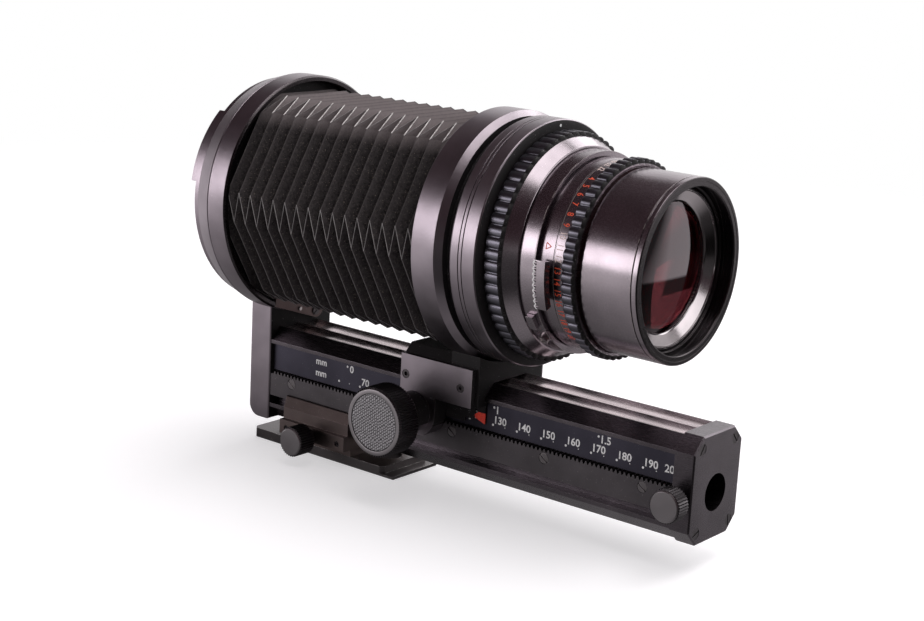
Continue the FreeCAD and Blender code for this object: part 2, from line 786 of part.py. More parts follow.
def make_coupling_cover():
    """Slanting cover tongue on the post's front face, where the ring's lip is cut away."""
    x0, x1 = post_front, post_front + cover_plate_t
    z = rail_z + ring_low
    low, high = math.radians(-108), math.radians(82)
    arm = along_x([
        (cover_end_y, ring_low + cover_end_high), (cover_end_y, ring_low + cover_end_low),
        (cover_tip_y + cover_tip_r * math.cos(low), ring_low + cover_tip_z + cover_tip_r * math.sin(low)),
        (cover_tip_y + cover_tip_r * math.cos(high), ring_low + cover_tip_z + cover_tip_r * math.sin(high)),
    ], x0, x1)
    tongue = arm.fuse(rod_x(x0, x1, cover_tip_r, cover_tip_y, z + cover_tip_z)).removeSplitter()
    tongue = tongue.cut(rod_x(x0 - cut_over, x1 + cut_over, cover_hole_r, cover_screw_y, z + cover_screw_z))
    return tongue.cut(rod_x(x0 - cut_over, x1 + cut_over, coupling_pin_r, coupling_pin_y, z + coupling_pin_z))


def make_coupling_pin():
    z = rail_z + ring_low + coupling_pin_z
    return rod_x(post_front, post_front + cover_plate_t + coupling_pin_over, coupling_pin_r, coupling_pin_y, z)


def make_coupling_cover_screw():
    face = post_front + cover_plate_t + cover_screw_head_t
    z = rail_z + ring_low + cover_screw_z
    return slotted_head_x(
        face, cover_screw_y, z, cover_screw_r, cover_screw_head_t, cover_hole_r, cover_plate_t, slot_step_deg
    )


# ---------------------------------------------------------------- bellows

def bellows_station(j, shift):
    """Corner points of every side's line at station j: a ridge or a valley, side by side.

    shift moves the sheet inwards, for the inner face of its wall."""
    x = bellows_rear + pleat_pitch * (j // 2) + fold_lead * (j % 2)
    lines = []
    for side in range(6):
        ridge = (side + j) % 2 == 0
        apothem = (ridge_apothem if ridge else ridge_apothem - pleat_depth) - shift
        half = ridge_half_l if ridge else valley_half_l
        half -= shift * 0.5
        a = math.pi / 2 + side * math.pi / 3
        out = V(0, math.cos(a), math.sin(a))
        along = V(0, -math.sin(a), math.cos(a))
        centre = V(x, 0, axis_z) + out * apothem
        lines.append((centre - along * half, centre + along * half, ridge))
    return lines


def bellows_skin(shift):
    """The folded sheet as flat faces between stations, and its two end outlines."""
    faces = []
    stations = [bellows_station(j, shift) for j in range(2 * pleat_count + 2)]
    for here, there in zip(stations, stations[1:]):
        for side in range(6):
            nxt = (side + 1) % 6
            faces.append(polygon([here[side][0], here[side][1], there[side][1], there[side][0]]))
            p, q = here[side][1], here[nxt][0]
            r, s = there[side][1], there[nxt][0]
            if here[side][2]:
                faces.append(polygon([p, s, r]))
                faces.append(polygon([p, q, s]))
            else:
                faces.append(polygon([q, r, p]))
                faces.append(polygon([q, s, r]))
    return faces, outline(stations[0]), outline(stations[-1])


def outline(station):
    points = []
    for line in station:
        points += [line[0], line[1]]
    return points


def make_bellows():
    """A thin folded tube: outer and inner skins closed by a ring at each end."""
    outer, outer_rear, outer_front = bellows_skin(0.0)
    inner, inner_rear, inner_front = bellows_skin(bellows_wall)
    faces = outer + inner
    for big, small in ((outer_rear, inner_rear), (outer_front, inner_front)):
        rims = [Part.makePolygon(ring + [ring[0]]) for ring in (big, small)]
        faces.append(Part.makeFace(rims, "Part::FaceMakerBullseye"))
    shell = Part.makeShell(faces)
    shell.sewShape()
    solid = Part.Solid(shell)
    if solid.Volume < 0:
        solid.reverse()
    return solid


# ---------------------------------------------------------------- lens standard

def front_ring_envelope():
    x0 = lens_face_x + front_ring_rear
    x1 = lens_face_x + mount_ring_rear
    return rod_x(x0, x1, front_ring_r, 0, axis_z)


def make_front_ring():
    x0 = lens_face_x + front_ring_rear
    x1 = lens_face_x + front_ring_front
    x2 = x1 + front_ring_cone_l
    x3 = lens_face_x + mount_ring_rear
    floor = lens_face_x + front_ring_floor
    return turned([
        (x0, front_ring_lip_r), (x0, front_ring_r - 0.4), (x0 + 0.4, front_ring_r),
        (x1, front_ring_r), (x2, front_ring_r - front_ring_cone_h), (x2, mount_groove_r), (x3, mount_groove_r),
        (x3, mount_ring_bore_r), (floor, mount_ring_bore_r), (floor, front_ring_lip_r),
    ])


def make_lens_mount():
    """The ring that takes the lens, with two fine seams and a dark stepped face."""
    x0 = lens_face_x + mount_ring_rear
    c = mount_rear_round
    profile = [
        (x0, mount_ring_bore_r), (x0, mount_ring_r - c), (x0 + 0.3 * c, mount_ring_r - 0.3 * c),
        (x0 + c, mount_ring_r),
    ]
    for seam in mount_seams:
        x = lens_face_x + seam
        low = mount_ring_r - mount_seam_depth
        profile += [(x, mount_ring_r), (x, low), (x + mount_seam_w, low), (x + mount_seam_w, mount_ring_r)]
    profile += [
        (lens_face_x - 2 * mount_front_bevel, mount_ring_r),
        (lens_face_x - mount_front_bevel, mount_ring_r - mount_front_bevel),
        (lens_face_x, mount_face_r), (lens_face_x, mount_ring_bore_r),
    ]
    return turned(profile)


def carriage_section(half_w):
    """Half of the saddle's outline over the rail, from the -Y side."""
    w, h = rail_half_w, rail_half_h
    g = slide_gap
    inner = [
        (-(w - rail_chamfer_y) - g * 0.4, h + g),
        (-w - g, h - rail_chamfer_z + g * 0.4),
        (-w - g, hook_top),
        (-hook_y, hook_top),
        (-hook_y, carriage_bottom),
    ]
    outer = [
        (-half_w, carriage_bottom),
        (-half_w, carriage_top - carriage_chamfer),
        (-half_w + carriage_chamfer, carriage_top),
    ]
    return inner + outer


def make_carriage():
    x0 = lens_face_x + carriage_rear
    x1 = lens_face_x + carriage_front
    left = carriage_section(carriage_half_w)
    section = left + [(-y, z) for y, z in reversed(left)]
    body = along_x(section, x0, x1)
    ring_x = lens_face_x + front_ring_rear
    w = carriage_half_w
    cradle = box(ring_x, x1, -w, w, rail_z + carriage_top - carriage_chamfer, rail_z + cradle_top)
    body = body.fuse(cradle).cut(front_ring_envelope())
    bearing = bearing_block()
    body = body.fuse(bearing)
    body = body.cut(rod_y(bearing_outer_y, -hook_y, pinion_shaft_r + run_gap, pinion_cx, pinion_z))
    pinion_room = pinion_pitch_r + tooth_module + air_gap
    body = body.cut(rod_y(-rail_half_w - slide_gap, -hook_y + 1.0, pinion_room, pinion_cx, pinion_z))
    lug_x = lens_face_x + pointer_index
    low, high = rail_z + pointer_high, rail_z + carriage_bottom + 0.5
    lug = box(lug_x - 3.0, lug_x, -hook_y - pointer_t, -hook_y, low, high)
    body = body.fuse(lug)
    lock = rod_y(rail_half_w - 1.0, carriage_half_w + 1.0, lock_screw_r + run_gap, lens_face_x + lock_x, rail_z + lock_z)
    body = body.cut(lock)
    for x in side_screw_xs:
        for side in (-1, 1):
            y0, y1 = sorted((side * (rail_half_w + 1.2), side * (carriage_half_w + cut_over)))
            body = body.cut(rod_y(y0, y1, 0.9, lens_face_x + x, rail_z + side_screw_z))
    return body.removeSplitter()


def bearing_block():
    """The boss that carries the pinion shaft, hanging below the saddle's side."""
    y_in = -rail_half_w - slide_gap
    face = carriage_face_y
    half = bearing_block_half
    low = box(pinion_cx - half, pinion_cx + half, -face, y_in, pinion_z, rail_z + carriage_bottom)
    low = low.fuse(rod_y(-face, y_in, half, pinion_cx, pinion_z))
    roof = box(
        pinion_cx - half - 2, pinion_cx + half + 2, -face - 2, y_in + 2, rail_z + carriage_bottom, axis_z
    )
    low = low.cut(roof)
    floor = rail_z - bearing_block_drop
    low = low.common(box(pinion_cx - half, pinion_cx + half, -face, y_in, floor, rail_z + carriage_bottom))
    boss = rod_y(bearing_outer_y, -face, bearing_r, pinion_cx, pinion_z)
    return low.fuse(boss)


def make_side_plate(side):
    x0 = lens_face_x + carriage_rear
    x1 = lens_face_x + carriage_side_front
    y0, y1 = sorted((side * carriage_half_w, side * (carriage_half_w + carriage_side_t)))
    plate = box(x0, x1, y0, y1, rail_z + carriage_bottom, rail_z + carriage_top - carriage_chamfer)
    y_out = side * carriage_face_y
    for x in side_screw_xs:
        low, high = sorted((y_out + side * cut_over, y_out - side * 1.2))
        plate = plate.cut(rod_y(low, high, side_screw_r + head_gap, lens_face_x + x, rail_z + side_screw_z))
        plate = plate.cut(rod_y(y0 - cut_over, y1 + cut_over, 0.9, lens_face_x + x, rail_z + side_screw_z))
    if side > 0:
        lock = rod_y(y0 - cut_over, y1 + cut_over, lock_screw_r + run_gap, lens_face_x + lock_x, rail_z + lock_z)
        plate = plate.cut(lock)
    return plate


def make_side_screws():
    screws = []
    for side in (-1, 1):
        y_out = side * (carriage_face_y - 0.1)
        y_mid = y_out - side * 1.1
        y_in = y_mid - side * 3.4
        for x in side_screw_xs:
            cx, cz = lens_face_x + x, rail_z + side_screw_z
            head = rod_y(min(y_out, y_mid), max(y_out, y_mid), side_screw_r, cx, cz)
            shank = rod_y(min(y_mid, y_in), max(y_mid, y_in), 0.9, cx, cz)
            low, high = sorted((y_out + side * cut_over, y_out - side * 0.8))
            screws.append(head.fuse(shank).cut(hex_socket_y(cx, cz, low, high, 0.8)))
    return group(screws)


def make_pointer():
    """Red index on the saddle, its front edge on the scale reading."""
    x1 = lens_face_x + pointer_index
    middle = (pointer_low + pointer_high) / 2
    points = [(x1, pointer_low), (x1, pointer_high), (x1 - 3.0, pointer_high), (x1 - pointer_length, middle)]
    face = polygon([V(x, -hook_y - pointer_t, rail_z + z) for x, z in points])
    return face.extrude(V(0, pointer_t, 0))


# ---------------------------------------------------------------- lens

def make_lens_barrel():
    """Rear section of the lens: the mount shoulder and the seat of the shutter ring."""
    f = lens_face_x
    joint = f + shutter_end + slide_gap
    shoulder_r = shutter_lobe_r - 1.5
    glass_seat = f + lens_rear + retaining_ring_t
    mount_r = mount_ring_bore_r - 0.05
    return turned([
        (f + lens_rear, rear_glass_r + 1.5), (f + lens_rear, lens_rear_r), (f + mount_ring_rear, lens_rear_r),
        (f + mount_ring_rear, mount_r), (f, mount_r), (f, shoulder_r), (f + shutter_rear - slide_gap, shoulder_r),
        (f + shutter_rear - slide_gap, shutter_seat_r), (joint, shutter_seat_r), (joint, mid_spigot_r),
        (joint - mid_spigot_l, mid_spigot_r), (joint - mid_spigot_l, lens_bore_r),
        (glass_seat + rear_glass_t, lens_bore_r), (glass_seat + rear_glass_t, rear_glass_r),
        (glass_seat, rear_glass_r), (glass_seat, rear_glass_r + 1.5),
    ])


def make_mid_barrel():
    """Middle section: plain band, index ring with the tab's slot, and the aperture ring's seat."""
    f = lens_face_x
    joint = f + shutter_end + slide_gap
    glass_seat = f + inner_glass_x
    spigot_front = f + front_barrel_rear + front_spigot_l
    iris_front = f + iris_x + iris_seat_w
    barrel = turned([
        (joint - mid_spigot_l, iris_clear_r), (joint - mid_spigot_l, mid_spigot_r), (joint, mid_spigot_r),
        (joint, mid_barrel_r), (f + mid_barrel_end, mid_barrel_r), (f + mid_barrel_end, index_groove_r),
        (f + index_rear, index_groove_r), (f + index_rear, index_r), (f + index_end, index_r),
        (f + index_end, aperture_seat_r), (f + front_barrel_rear, aperture_seat_r),
        (f + front_barrel_rear, front_spigot_r), (spigot_front, front_spigot_r),
        (spigot_front, inner_glass_r + 3.0), (glass_seat + inner_glass_t, inner_glass_r + 1.0),
        (glass_seat + inner_glass_t, inner_glass_r), (glass_seat, inner_glass_r), (glass_seat, iris_clear_r),
        (iris_front, iris_clear_r), (iris_front, iris_seat_r), (f + iris_x, iris_seat_r), (f + iris_x, iris_clear_r),
    ])
    slot_rear, slot_front = f + tab_stem_x - tab_travel - 0.2, f + tab_stem_x + tab_stem_w + 0.2
    slot = tube(slot_rear, slot_front, index_r + cut_over, tab_stem_r - 0.2).common(
        wedge_tool(tab_centre_deg, tab_stem_deg + 0.6, slot_rear, slot_front, mid_barrel_r * 1.6)
    )
    a = math.radians(socket_centre_deg)
    well = Part.makeCylinder(
        sync_socket_r, sync_socket_depth + cut_over,
        V(f + sync_socket_x, 0, axis_z) + V(0, math.cos(a), math.sin(a)) * (mid_barrel_r - sync_socket_depth),
        V(0, math.cos(a), math.sin(a)),
    )
    return barrel.cut(slot).cut(well)


def make_shutter_ring():
    f = lens_face_x
    lobed = lobed_ring(f + shutter_rear, f + shutter_lobed_end, shutter_lobe_r, shutter_lobe_count, shutter_seat_r + run_gap)
    band = turned([
        (f + shutter_lobed_end, shutter_seat_r + run_gap), (f + shutter_lobed_end, shutter_band_r - 0.5),
        (f + shutter_lobed_end + 0.7, shutter_band_r - 0.5), (f + shutter_lobed_end + 0.7, shutter_band_r),
        (f + shutter_end - 0.5, shutter_band_r), (f + shutter_end, shutter_band_r - 0.5),
        (f + shutter_end, shutter_seat_r + run_gap),
    ])
    return lobed.fuse(band).removeSplitter()


def make_aperture_ring():
    f = lens_face_x
    bore = aperture_seat_r + run_gap
    lobed = lobed_ring(f + aperture_lobed_start, f + aperture_end, aperture_lobe_r, aperture_lobe_count, bore)
    band = tube(f + aperture_rear, f + aperture_lobed_start, index_r, bore)
    return lobed.fuse(band).removeSplitter()


def make_front_barrel():
    """Smooth front tube with the filter bay, stepped down to the name ring."""
    f = lens_face_x
    x0, x1 = f + front_barrel_rear, f + front_barrel_front
    bay = x1 - front_bay_depth
    seat = bay - name_ring_t
    return turned([
        (x0, front_spigot_r), (x0, front_barrel_r - 1.0), (x0 + 0.4, front_barrel_r - 1.0),
        (x0 + 0.4, front_barrel_r - 0.2), (x0 + 1.0, front_barrel_r), (x1 - 2.2, front_barrel_r),
        (x1 - 2.2, front_barrel_r - 0.35), (x1 - 1.9, front_barrel_r - 0.35), (x1 - 1.9, front_barrel_r),
        (x1 - 0.3, front_barrel_r), (x1, front_barrel_r - 0.3), (x1, front_bay_r),
        (bay, front_bay_r), (bay, name_ring_outer_r + 1.2), (bay - 0.6, name_ring_outer_r + 1.2),
        (bay - 0.6, name_ring_outer_r), (seat, name_ring_outer_r), (seat, front_glass_r),
        (seat - front_glass_t, front_glass_r), (seat - front_glass_t, front_glass_r - 1.5),
        (x0 + front_spigot_l, front_glass_r - 1.5), (x0 + front_spigot_l, front_spigot_r),
    ])


def make_name_ring():
    """Bare conical ring that holds the front glass."""
    f = lens_face_x
    bay = f + front_barrel_front - front_bay_depth
    seat = bay - name_ring_t
    return turned([
        (seat, front_glass_r - 0.6), (seat, name_ring_outer_r), (bay - 0.6, name_ring_outer_r),
        (bay - 0.6, name_ring_outer_r - 0.5), (bay - 1.0, name_ring_outer_r - 0.6),
        (seat + 1.0, name_ring_inner_r), (seat + 0.5, front_glass_r - 0.6),
    ])


def lens_element(x0, t, r, land, front_bulge, rear_bulge):
    """A round glass with its rim from x0 to x0 + t, a flat land, then domed faces."""
    def point(x, y):
        return V(x, 0, axis_z + y)
    edges = [
        Part.LineSegment(point(x0, r - land), point(x0, r)).toShape(),
        Part.LineSegment(point(x0, r), point(x0 + t, r)).toShape(),
        Part.LineSegment(point(x0 + t, r), point(x0 + t, r - land)).toShape(),
        dome_edge(point, x0 + t, r - land, front_bulge),
        Part.LineSegment(point(x0 + t + front_bulge, 0), point(x0 - rear_bulge, 0)).toShape(),
        dome_edge(point, x0, r - land, -rear_bulge),
    ]
    face = Part.Face(Part.Wire(Part.__sortEdges__(edges)))
    return face.revolve(V(0, 0, axis_z), V(1, 0, 0), 360)


def dome_edge(point, x, r, bulge):
    """Half of a shallow arc from the rim at (x, r) to the axis at (x + bulge, 0)."""
    ball = (r * r + bulge * bulge) / (2 * abs(bulge))
    centre = x + bulge - math.copysign(ball, bulge)
    a = math.asin(r / ball) / 2
    mid = point(centre + math.copysign(ball * math.cos(a), bulge), ball * math.sin(a))
    return Part.Arc(point(x, r), mid, point(x + bulge, 0)).toShape()


def make_front_glass():
    seat = lens_face_x + front_barrel_front - front_bay_depth - name_ring_t
    return lens_element(seat - front_glass_t, front_glass_t, front_glass_r, 1.6, front_glass_bulge, 0.8)


def make_inner_glass():
    return lens_element(lens_face_x + inner_glass_x, inner_glass_t, inner_glass_r, 1.1, 0.9, 0.4)


def make_rear_glass():
    x0 = lens_face_x + lens_rear + retaining_ring_t
    return lens_element(x0, rear_glass_t, rear_glass_r, 2.6, 0.6, 1.2)


def make_rear_retainer():
    x0 = lens_face_x + lens_rear
    return tube(x0, x0 + retaining_ring_t, rear_glass_r + 1.5, rear_glass_r - 1.0)


def make_iris_blades():
    """Thin curved leaves in a fan, each in its own plane."""
    leaves = []
    for k in range(iris_blade_count):
        x0 = lens_face_x + iris_x + 0.3 + k * (iris_blade_t + 0.15)
        a = 2 * math.pi * k / iris_blade_count
        leaf = rod_x(x0, x0 + iris_blade_t, iris_seat_r - 0.3, 0, axis_z)
        shift = iris_open_r * 0.5
        hole = rod_x(
            x0 - cut_over, x0 + cut_over, iris_open_r + shift + 1.5,
            -shift * math.cos(a), axis_z - shift * math.sin(a)
        )
        leaf = leaf.cut(hole)
        leaf = leaf.common(wedge_tool(math.degrees(a), 150, x0 - cut_over, x0 + cut_over, iris_seat_r * 3.9))
        leaves += leaf.Solids
    return group(leaves)


def make_coupling_tab():
    """Serrated finger tab over the index ring, on a stem that slides in the ring's slot."""
    f = lens_face_x
    x0, x1 = f + tab_rear, f + tab_rear + tab_length
    r0 = mid_barrel_r + air_gap
    ring = tube(x0, x1, r0 + tab_height, r0)
    tab = ring.common(wedge_tool(tab_centre_deg, tab_deg, x0 - cut_over, x1 + cut_over, mid_barrel_r * 1.6))
    s0, s1 = f + tab_stem_x, f + tab_stem_x + tab_stem_w
    stem = tube(s0, s1, r0 + 0.5, tab_stem_r).common(
        wedge_tool(tab_centre_deg, tab_stem_deg, s0 - cut_over, s1 + cut_over, mid_barrel_r * 1.6)
    )
    tab = tab.fuse(stem)
    for k in range(tab_teeth):
        a = math.radians(tab_centre_deg + tab_deg * ((k + 0.5) / tab_teeth - 0.5))
        r = r0 + tab_height
        notch = rod_x(x0 - cut_over, x0 + 1.6, 0.6, r * math.cos(a), axis_z + r * math.sin(a))
        tab = tab.cut(notch)
    return tab.removeSplitter()


def make_sync_lever():
    """Small slider on the middle barrel."""
    x0 = lens_face_x + lever_rear
    x1 = x0 + lever_length
    ring = tube(x0, x1, mid_barrel_r + lever_height, mid_barrel_r + run_gap)
    return ring.common(wedge_tool(lever_centre_deg, lever_deg, x0 - cut_over, x1 + cut_over, mid_barrel_r * 1.6))


def make_sync_socket():
    """Bright flash-cord socket standing out of the middle barrel."""
    a = math.radians(socket_centre_deg)
    out = V(0, math.cos(a), math.sin(a))
    base = V(lens_face_x + sync_socket_x, 0, axis_z) + out * (mid_barrel_r - sync_socket_depth)
    shell = Part.makeCylinder(sync_socket_r, sync_socket_depth + sync_socket_height, base, out)
    hollow = Part.makeCylinder(sync_socket_r - 0.5, sync_socket_height + 0.4, base + out * (sync_socket_depth - 0.4), out)
    pin = Part.makeCylinder(0.4, sync_socket_height + 0.2, base + out * (sync_socket_depth - 0.5), out)
    return shell.cut(hollow).fuse(pin).removeSplitter()


# ---------------------------------------------------------------- knobs

def knob_with_stem(r, ribs, face_y, depth, stem_r, stem_end, x, z):
    knob = ribbed_disc(r, ribs, face_y + 0.5, face_y + depth - 0.5, x, z)
    cap = Part.makeCone(r - rib_height - 0.5, r - rib_height, 0.5, V(x, face_y, z), V(0, 1, 0))
    back = Part.makeCone(r - rib_height, r - rib_height - 0.5, 0.5, V(x, face_y + depth - 0.5, z), V(0, 1, 0))
    knob = knob.fuse([cap, back])
    stem = rod_y(face_y + depth - 0.01, stem_end, stem_r, x, z)
    return knob.fuse(stem).removeSplitter()


def make_focus_knob():
    x, z = pinion_cx, pinion_z
    knob = knob_with_stem(
        focus_knob_r, focus_knob_ribs, focus_knob_face_y, focus_knob_depth, bearing_r - 2.0,
        bearing_outer_y - slide_gap, x, z
    )
    knob = knob.cut(rod_y(focus_knob_face_y - cut_over, focus_knob_face_y + focus_inlay_t, focus_inlay_r, x, z))
    return knob.cut(rod_y(focus_knob_face_y + 3.0, bearing_outer_y, pinion_shaft_r, x, z))


def make_knob_inlay():
    y0 = focus_knob_face_y + 0.15
    return rod_y(y0, focus_knob_face_y + focus_inlay_t, focus_inlay_r - 0.05, pinion_cx, pinion_z)


def involute_flank(base_r, r_from, r_to, steps):
    """Points (angle past the involute's start, radius) along one tooth flank."""
    flank = []
    for i in range(steps + 1):
        r = max(base_r, r_from + (r_to - r_from) * i / steps)
        t = math.sqrt(max(0.0, (r / base_r) ** 2 - 1))
        flank.append((t - math.atan(t), r))
    return flank


def make_pinion():
    """Toothed shaft that the knob turns; one tooth points down into the rack."""
    pa = math.radians(pressure_angle)
    base_r = pinion_pitch_r * math.cos(pa)
    tip_r = pinion_pitch_r + tooth_module * 0.95
    root_r = pinion_pitch_r - rack_addendum - 0.16
    half_at_pitch = math.pi / (2 * pinion_teeth) - tooth_backlash / pinion_pitch_r
    lead = half_at_pitch + math.tan(pa) - pa
    points = []
    for k in range(pinion_teeth):
        centre = -math.pi / 2 + 2 * math.pi * k / pinion_teeth
        flank = involute_flank(base_r, base_r, tip_r, 3)
        rising = [(centre - lead + a, r) for a, r in flank]
        falling = [(centre + lead - a, r) for a, r in reversed(flank)]
        tooth = [(centre - lead, root_r)] + rising + falling + [(centre + lead, root_r)]
        points += [V(pinion_cx + r * math.cos(a), 0, pinion_z + r * math.sin(a)) for a, r in tooth]
    y0 = -rack_face_y + 0.05
    face = polygon(points)
    face.translate(V(0, y0, 0))
    gear = face.extrude(V(0, pinion_face, 0))
    shaft = rod_y(focus_knob_face_y + 3.0, y0 + 0.01, pinion_shaft_r, pinion_cx, pinion_z)
    return gear.fuse(shaft).removeSplitter()


def make_lock_knob():
    x, z = lens_face_x + lock_x, rail_z + lock_z
    y_plate = carriage_face_y
    y0 = y_plate + lock_knob_stem
    body = ribbed_disc(lock_knob_r, small_knob_ribs, y0, y0 + lock_knob_depth, x, z)
    screw = rod_y(rail_half_w - rail_chamfer_y + 4.9, y0, lock_screw_r, x, z)
    collar = rod_y(y_plate + slide_gap, y0 + 0.5, lock_screw_r + 1.6, x, z)
    return body.fuse([screw, collar]).removeSplitter()


def make_block_knob():
    face = -block_low_half_w
    knob = knob_with_stem(
        small_knob_r, small_knob_ribs, small_knob_face_y, small_knob_depth, 2.4, face - slide_gap, 0, block_screw_z
    )
    screw = rod_y(face - 1.0, face + clamp_screw_l - 0.4, clamp_screw_r, 0, block_screw_z)
    return knob.fuse(screw).removeSplitter()


def make_end_knob():
    x = rail_front + end_plate_t / 2
    knob = knob_with_stem(
        end_knob_r, small_knob_ribs, end_knob_face_y, end_knob_depth, 2.6, -end_plate_half_w - slide_gap, x, core_z
    )
    return knob.fuse(rod_y(-end_plate_half_w - 1.0, -end_bore_r - 0.4, clamp_screw_r, x, core_z)).removeSplitter()


# ---------------------------------------------------------------- tripod block and foot

def block_section():
    """The clamp block's outline, from the middle of its floor round the -Y jaw."""
    w, h = rail_half_w, rail_half_h
    g = slide_gap
    top_half_w = w + block_top_wall
    return [
        (-block_low_half_w, block_low_z - rail_z),
        (-block_low_half_w, rail_low + block_ledge_rise),
        (-top_half_w, rail_low + block_ledge_rise),
        (-top_half_w, rail_low + block_face_rise),
        (-w - block_lip_wall, rail_low + block_top_rise),
        (-w - g, rail_low + block_top_rise),
        (-w - g, slot_top - g),
        (-slot_floor_y - g, slot_top - g),
        (-slot_floor_y - g, slot_bottom + g),
        (-w - g, slot_bottom + g),
        (-w - g, -h + rail_chamfer_z - g * 0.4),
        (-(w - rail_chamfer_y) - g * 0.4, -h - g),
    ]


def make_tripod_block():
    left = block_section()
    section = left + [(-y, z) for y, z in reversed(left)]
    block = along_x(section, -block_half_l, block_half_l)
    pad_l, pad_w = block_half_l - pad_end_inset, foot_half_w - pad_inset
    pad = box(-pad_l, pad_l, -pad_w, pad_w, foot_top(), block_low_z)
    block = block.fuse(pad)
    top_edges = [
        e for e in block.Edges
        if e.BoundBox.XLength > 2 * block_half_l - 1
        and abs(abs(e.BoundBox.YMin) - (rail_half_w + block_lip_wall)) < 0.01
        and abs(e.BoundBox.ZMin - (rail_z + rail_low + block_top_rise)) < 0.01
    ]
    block = block.makeFillet(0.6, top_edges)
    block = block.cut(rod_z(-cut_over, socket_depth, socket_bush_r, 0, 0))
    hole = block_screw_sink + block_screw_l + hole_spare / 2
    for x in (-block_screw_x, block_screw_x):
        block = block.cut(rod_y(-block_low_half_w - cut_over, -block_low_half_w + hole, block_screw_r, x, block_screw_z))
    for x in (-foot_screw_x, foot_screw_x):
        block = block.cut(rod_z(foot_top() - cut_over, foot_top() + foot_screw_bite, foot_screw_shank_r, x, 0))
    clamp = rod_y(
        -block_low_half_w - cut_over, -block_low_half_w + clamp_screw_l, clamp_screw_r + run_gap, 0, block_screw_z
    )
    return block.cut(clamp).removeSplitter()


def foot_top():
    return foot_lip_t + foot_plate_t


def make_tripod_foot():
    w, c = foot_half_w, foot_corner
    lip = polygon([
        V(-foot_rear, -w + c, 0), V(-foot_rear + c, -w, 0), V(foot_lip_front, -w, 0), V(foot_lip_front, w, 0),
        V(-foot_rear + c, w, 0), V(-foot_rear, w - c, 0),
    ]).extrude(V(0, 0, foot_lip_t))
    plate = polygon([
        V(-foot_rear, -w + c, foot_lip_t), V(-foot_rear + c, -w, foot_lip_t), V(foot_front - 1.5, -w, foot_lip_t),
        V(foot_front, -w + 1.5, foot_lip_t), V(foot_front, w - 1.5, foot_lip_t), V(foot_front - 1.5, w, foot_lip_t),
        V(-foot_rear + c, w, foot_lip_t), V(-foot_rear, w - c, foot_lip_t),
    ]).extrude(V(0, 0, foot_plate_t))
    foot = lip.fuse(plate)
    low = [
        e for e in foot.Edges
        if e.BoundBox.ZMax < 0.01 and e.BoundBox.XLength > foot_rear and e.BoundBox.YLength < 0.1
    ]
    foot = foot.makeChamfer(foot_side_bevel, low)
    foot = foot.cut(rod_z(-cut_over, foot_top() + cut_over, socket_bush_r, 0, 0))
    foot = foot.cut(rod_z(-cut_over, foot_top() + cut_over, large_socket_r, large_socket_x, 0))
    for x in (-foot_screw_x, foot_screw_x):
        foot = foot.cut(rod_z(-cut_over, foot_screw_sink + foot_screw_head_t, foot_screw_r + head_gap, x, 0))
        foot = foot.cut(rod_z(-cut_over, foot_top() + cut_over, foot_screw_shank_r, x, 0))
    return foot.removeSplitter()


def make_socket_bush():
    bush = rod_z(0, socket_depth, socket_bush_r, 0, 0)
    return bush.cut(rod_z(-cut_over, socket_depth + cut_over, socket_r, 0, 0))


def make_foot_screws():
    screws = []
    for x in (-foot_screw_x, foot_screw_x):
        head_end = foot_screw_sink + foot_screw_head_t
        head = rod_z(foot_screw_sink, head_end, foot_screw_r, x, 0)
        shank = rod_z(head_end, foot_top() + foot_screw_bite, foot_screw_shank_r, x, 0)
        half_l, half_w = foot_screw_r + cut_over, foot_screw_slot_w / 2
        slot = box(x - half_l, x + half_l, -half_w, half_w, 0, foot_screw_sink + foot_screw_slot_l)
        screws.append(head.fuse(shank).cut(slot))
    return group(screws)


def make_block_screws():
    screws = []
    for x in (-block_screw_x, block_screw_x):
        y0 = -block_low_half_w + block_screw_sink
        pin = rod_y(y0, y0 + block_screw_l, block_screw_r, x, block_screw_z)
        socket = hex_socket_y(x, block_screw_z, y0 - cut_over, y0 + block_screw_socket_l, block_screw_socket_r)
        screws.append(pin.cut(socket))
    return group(screws)


# ---------------------------------------------------------------- export

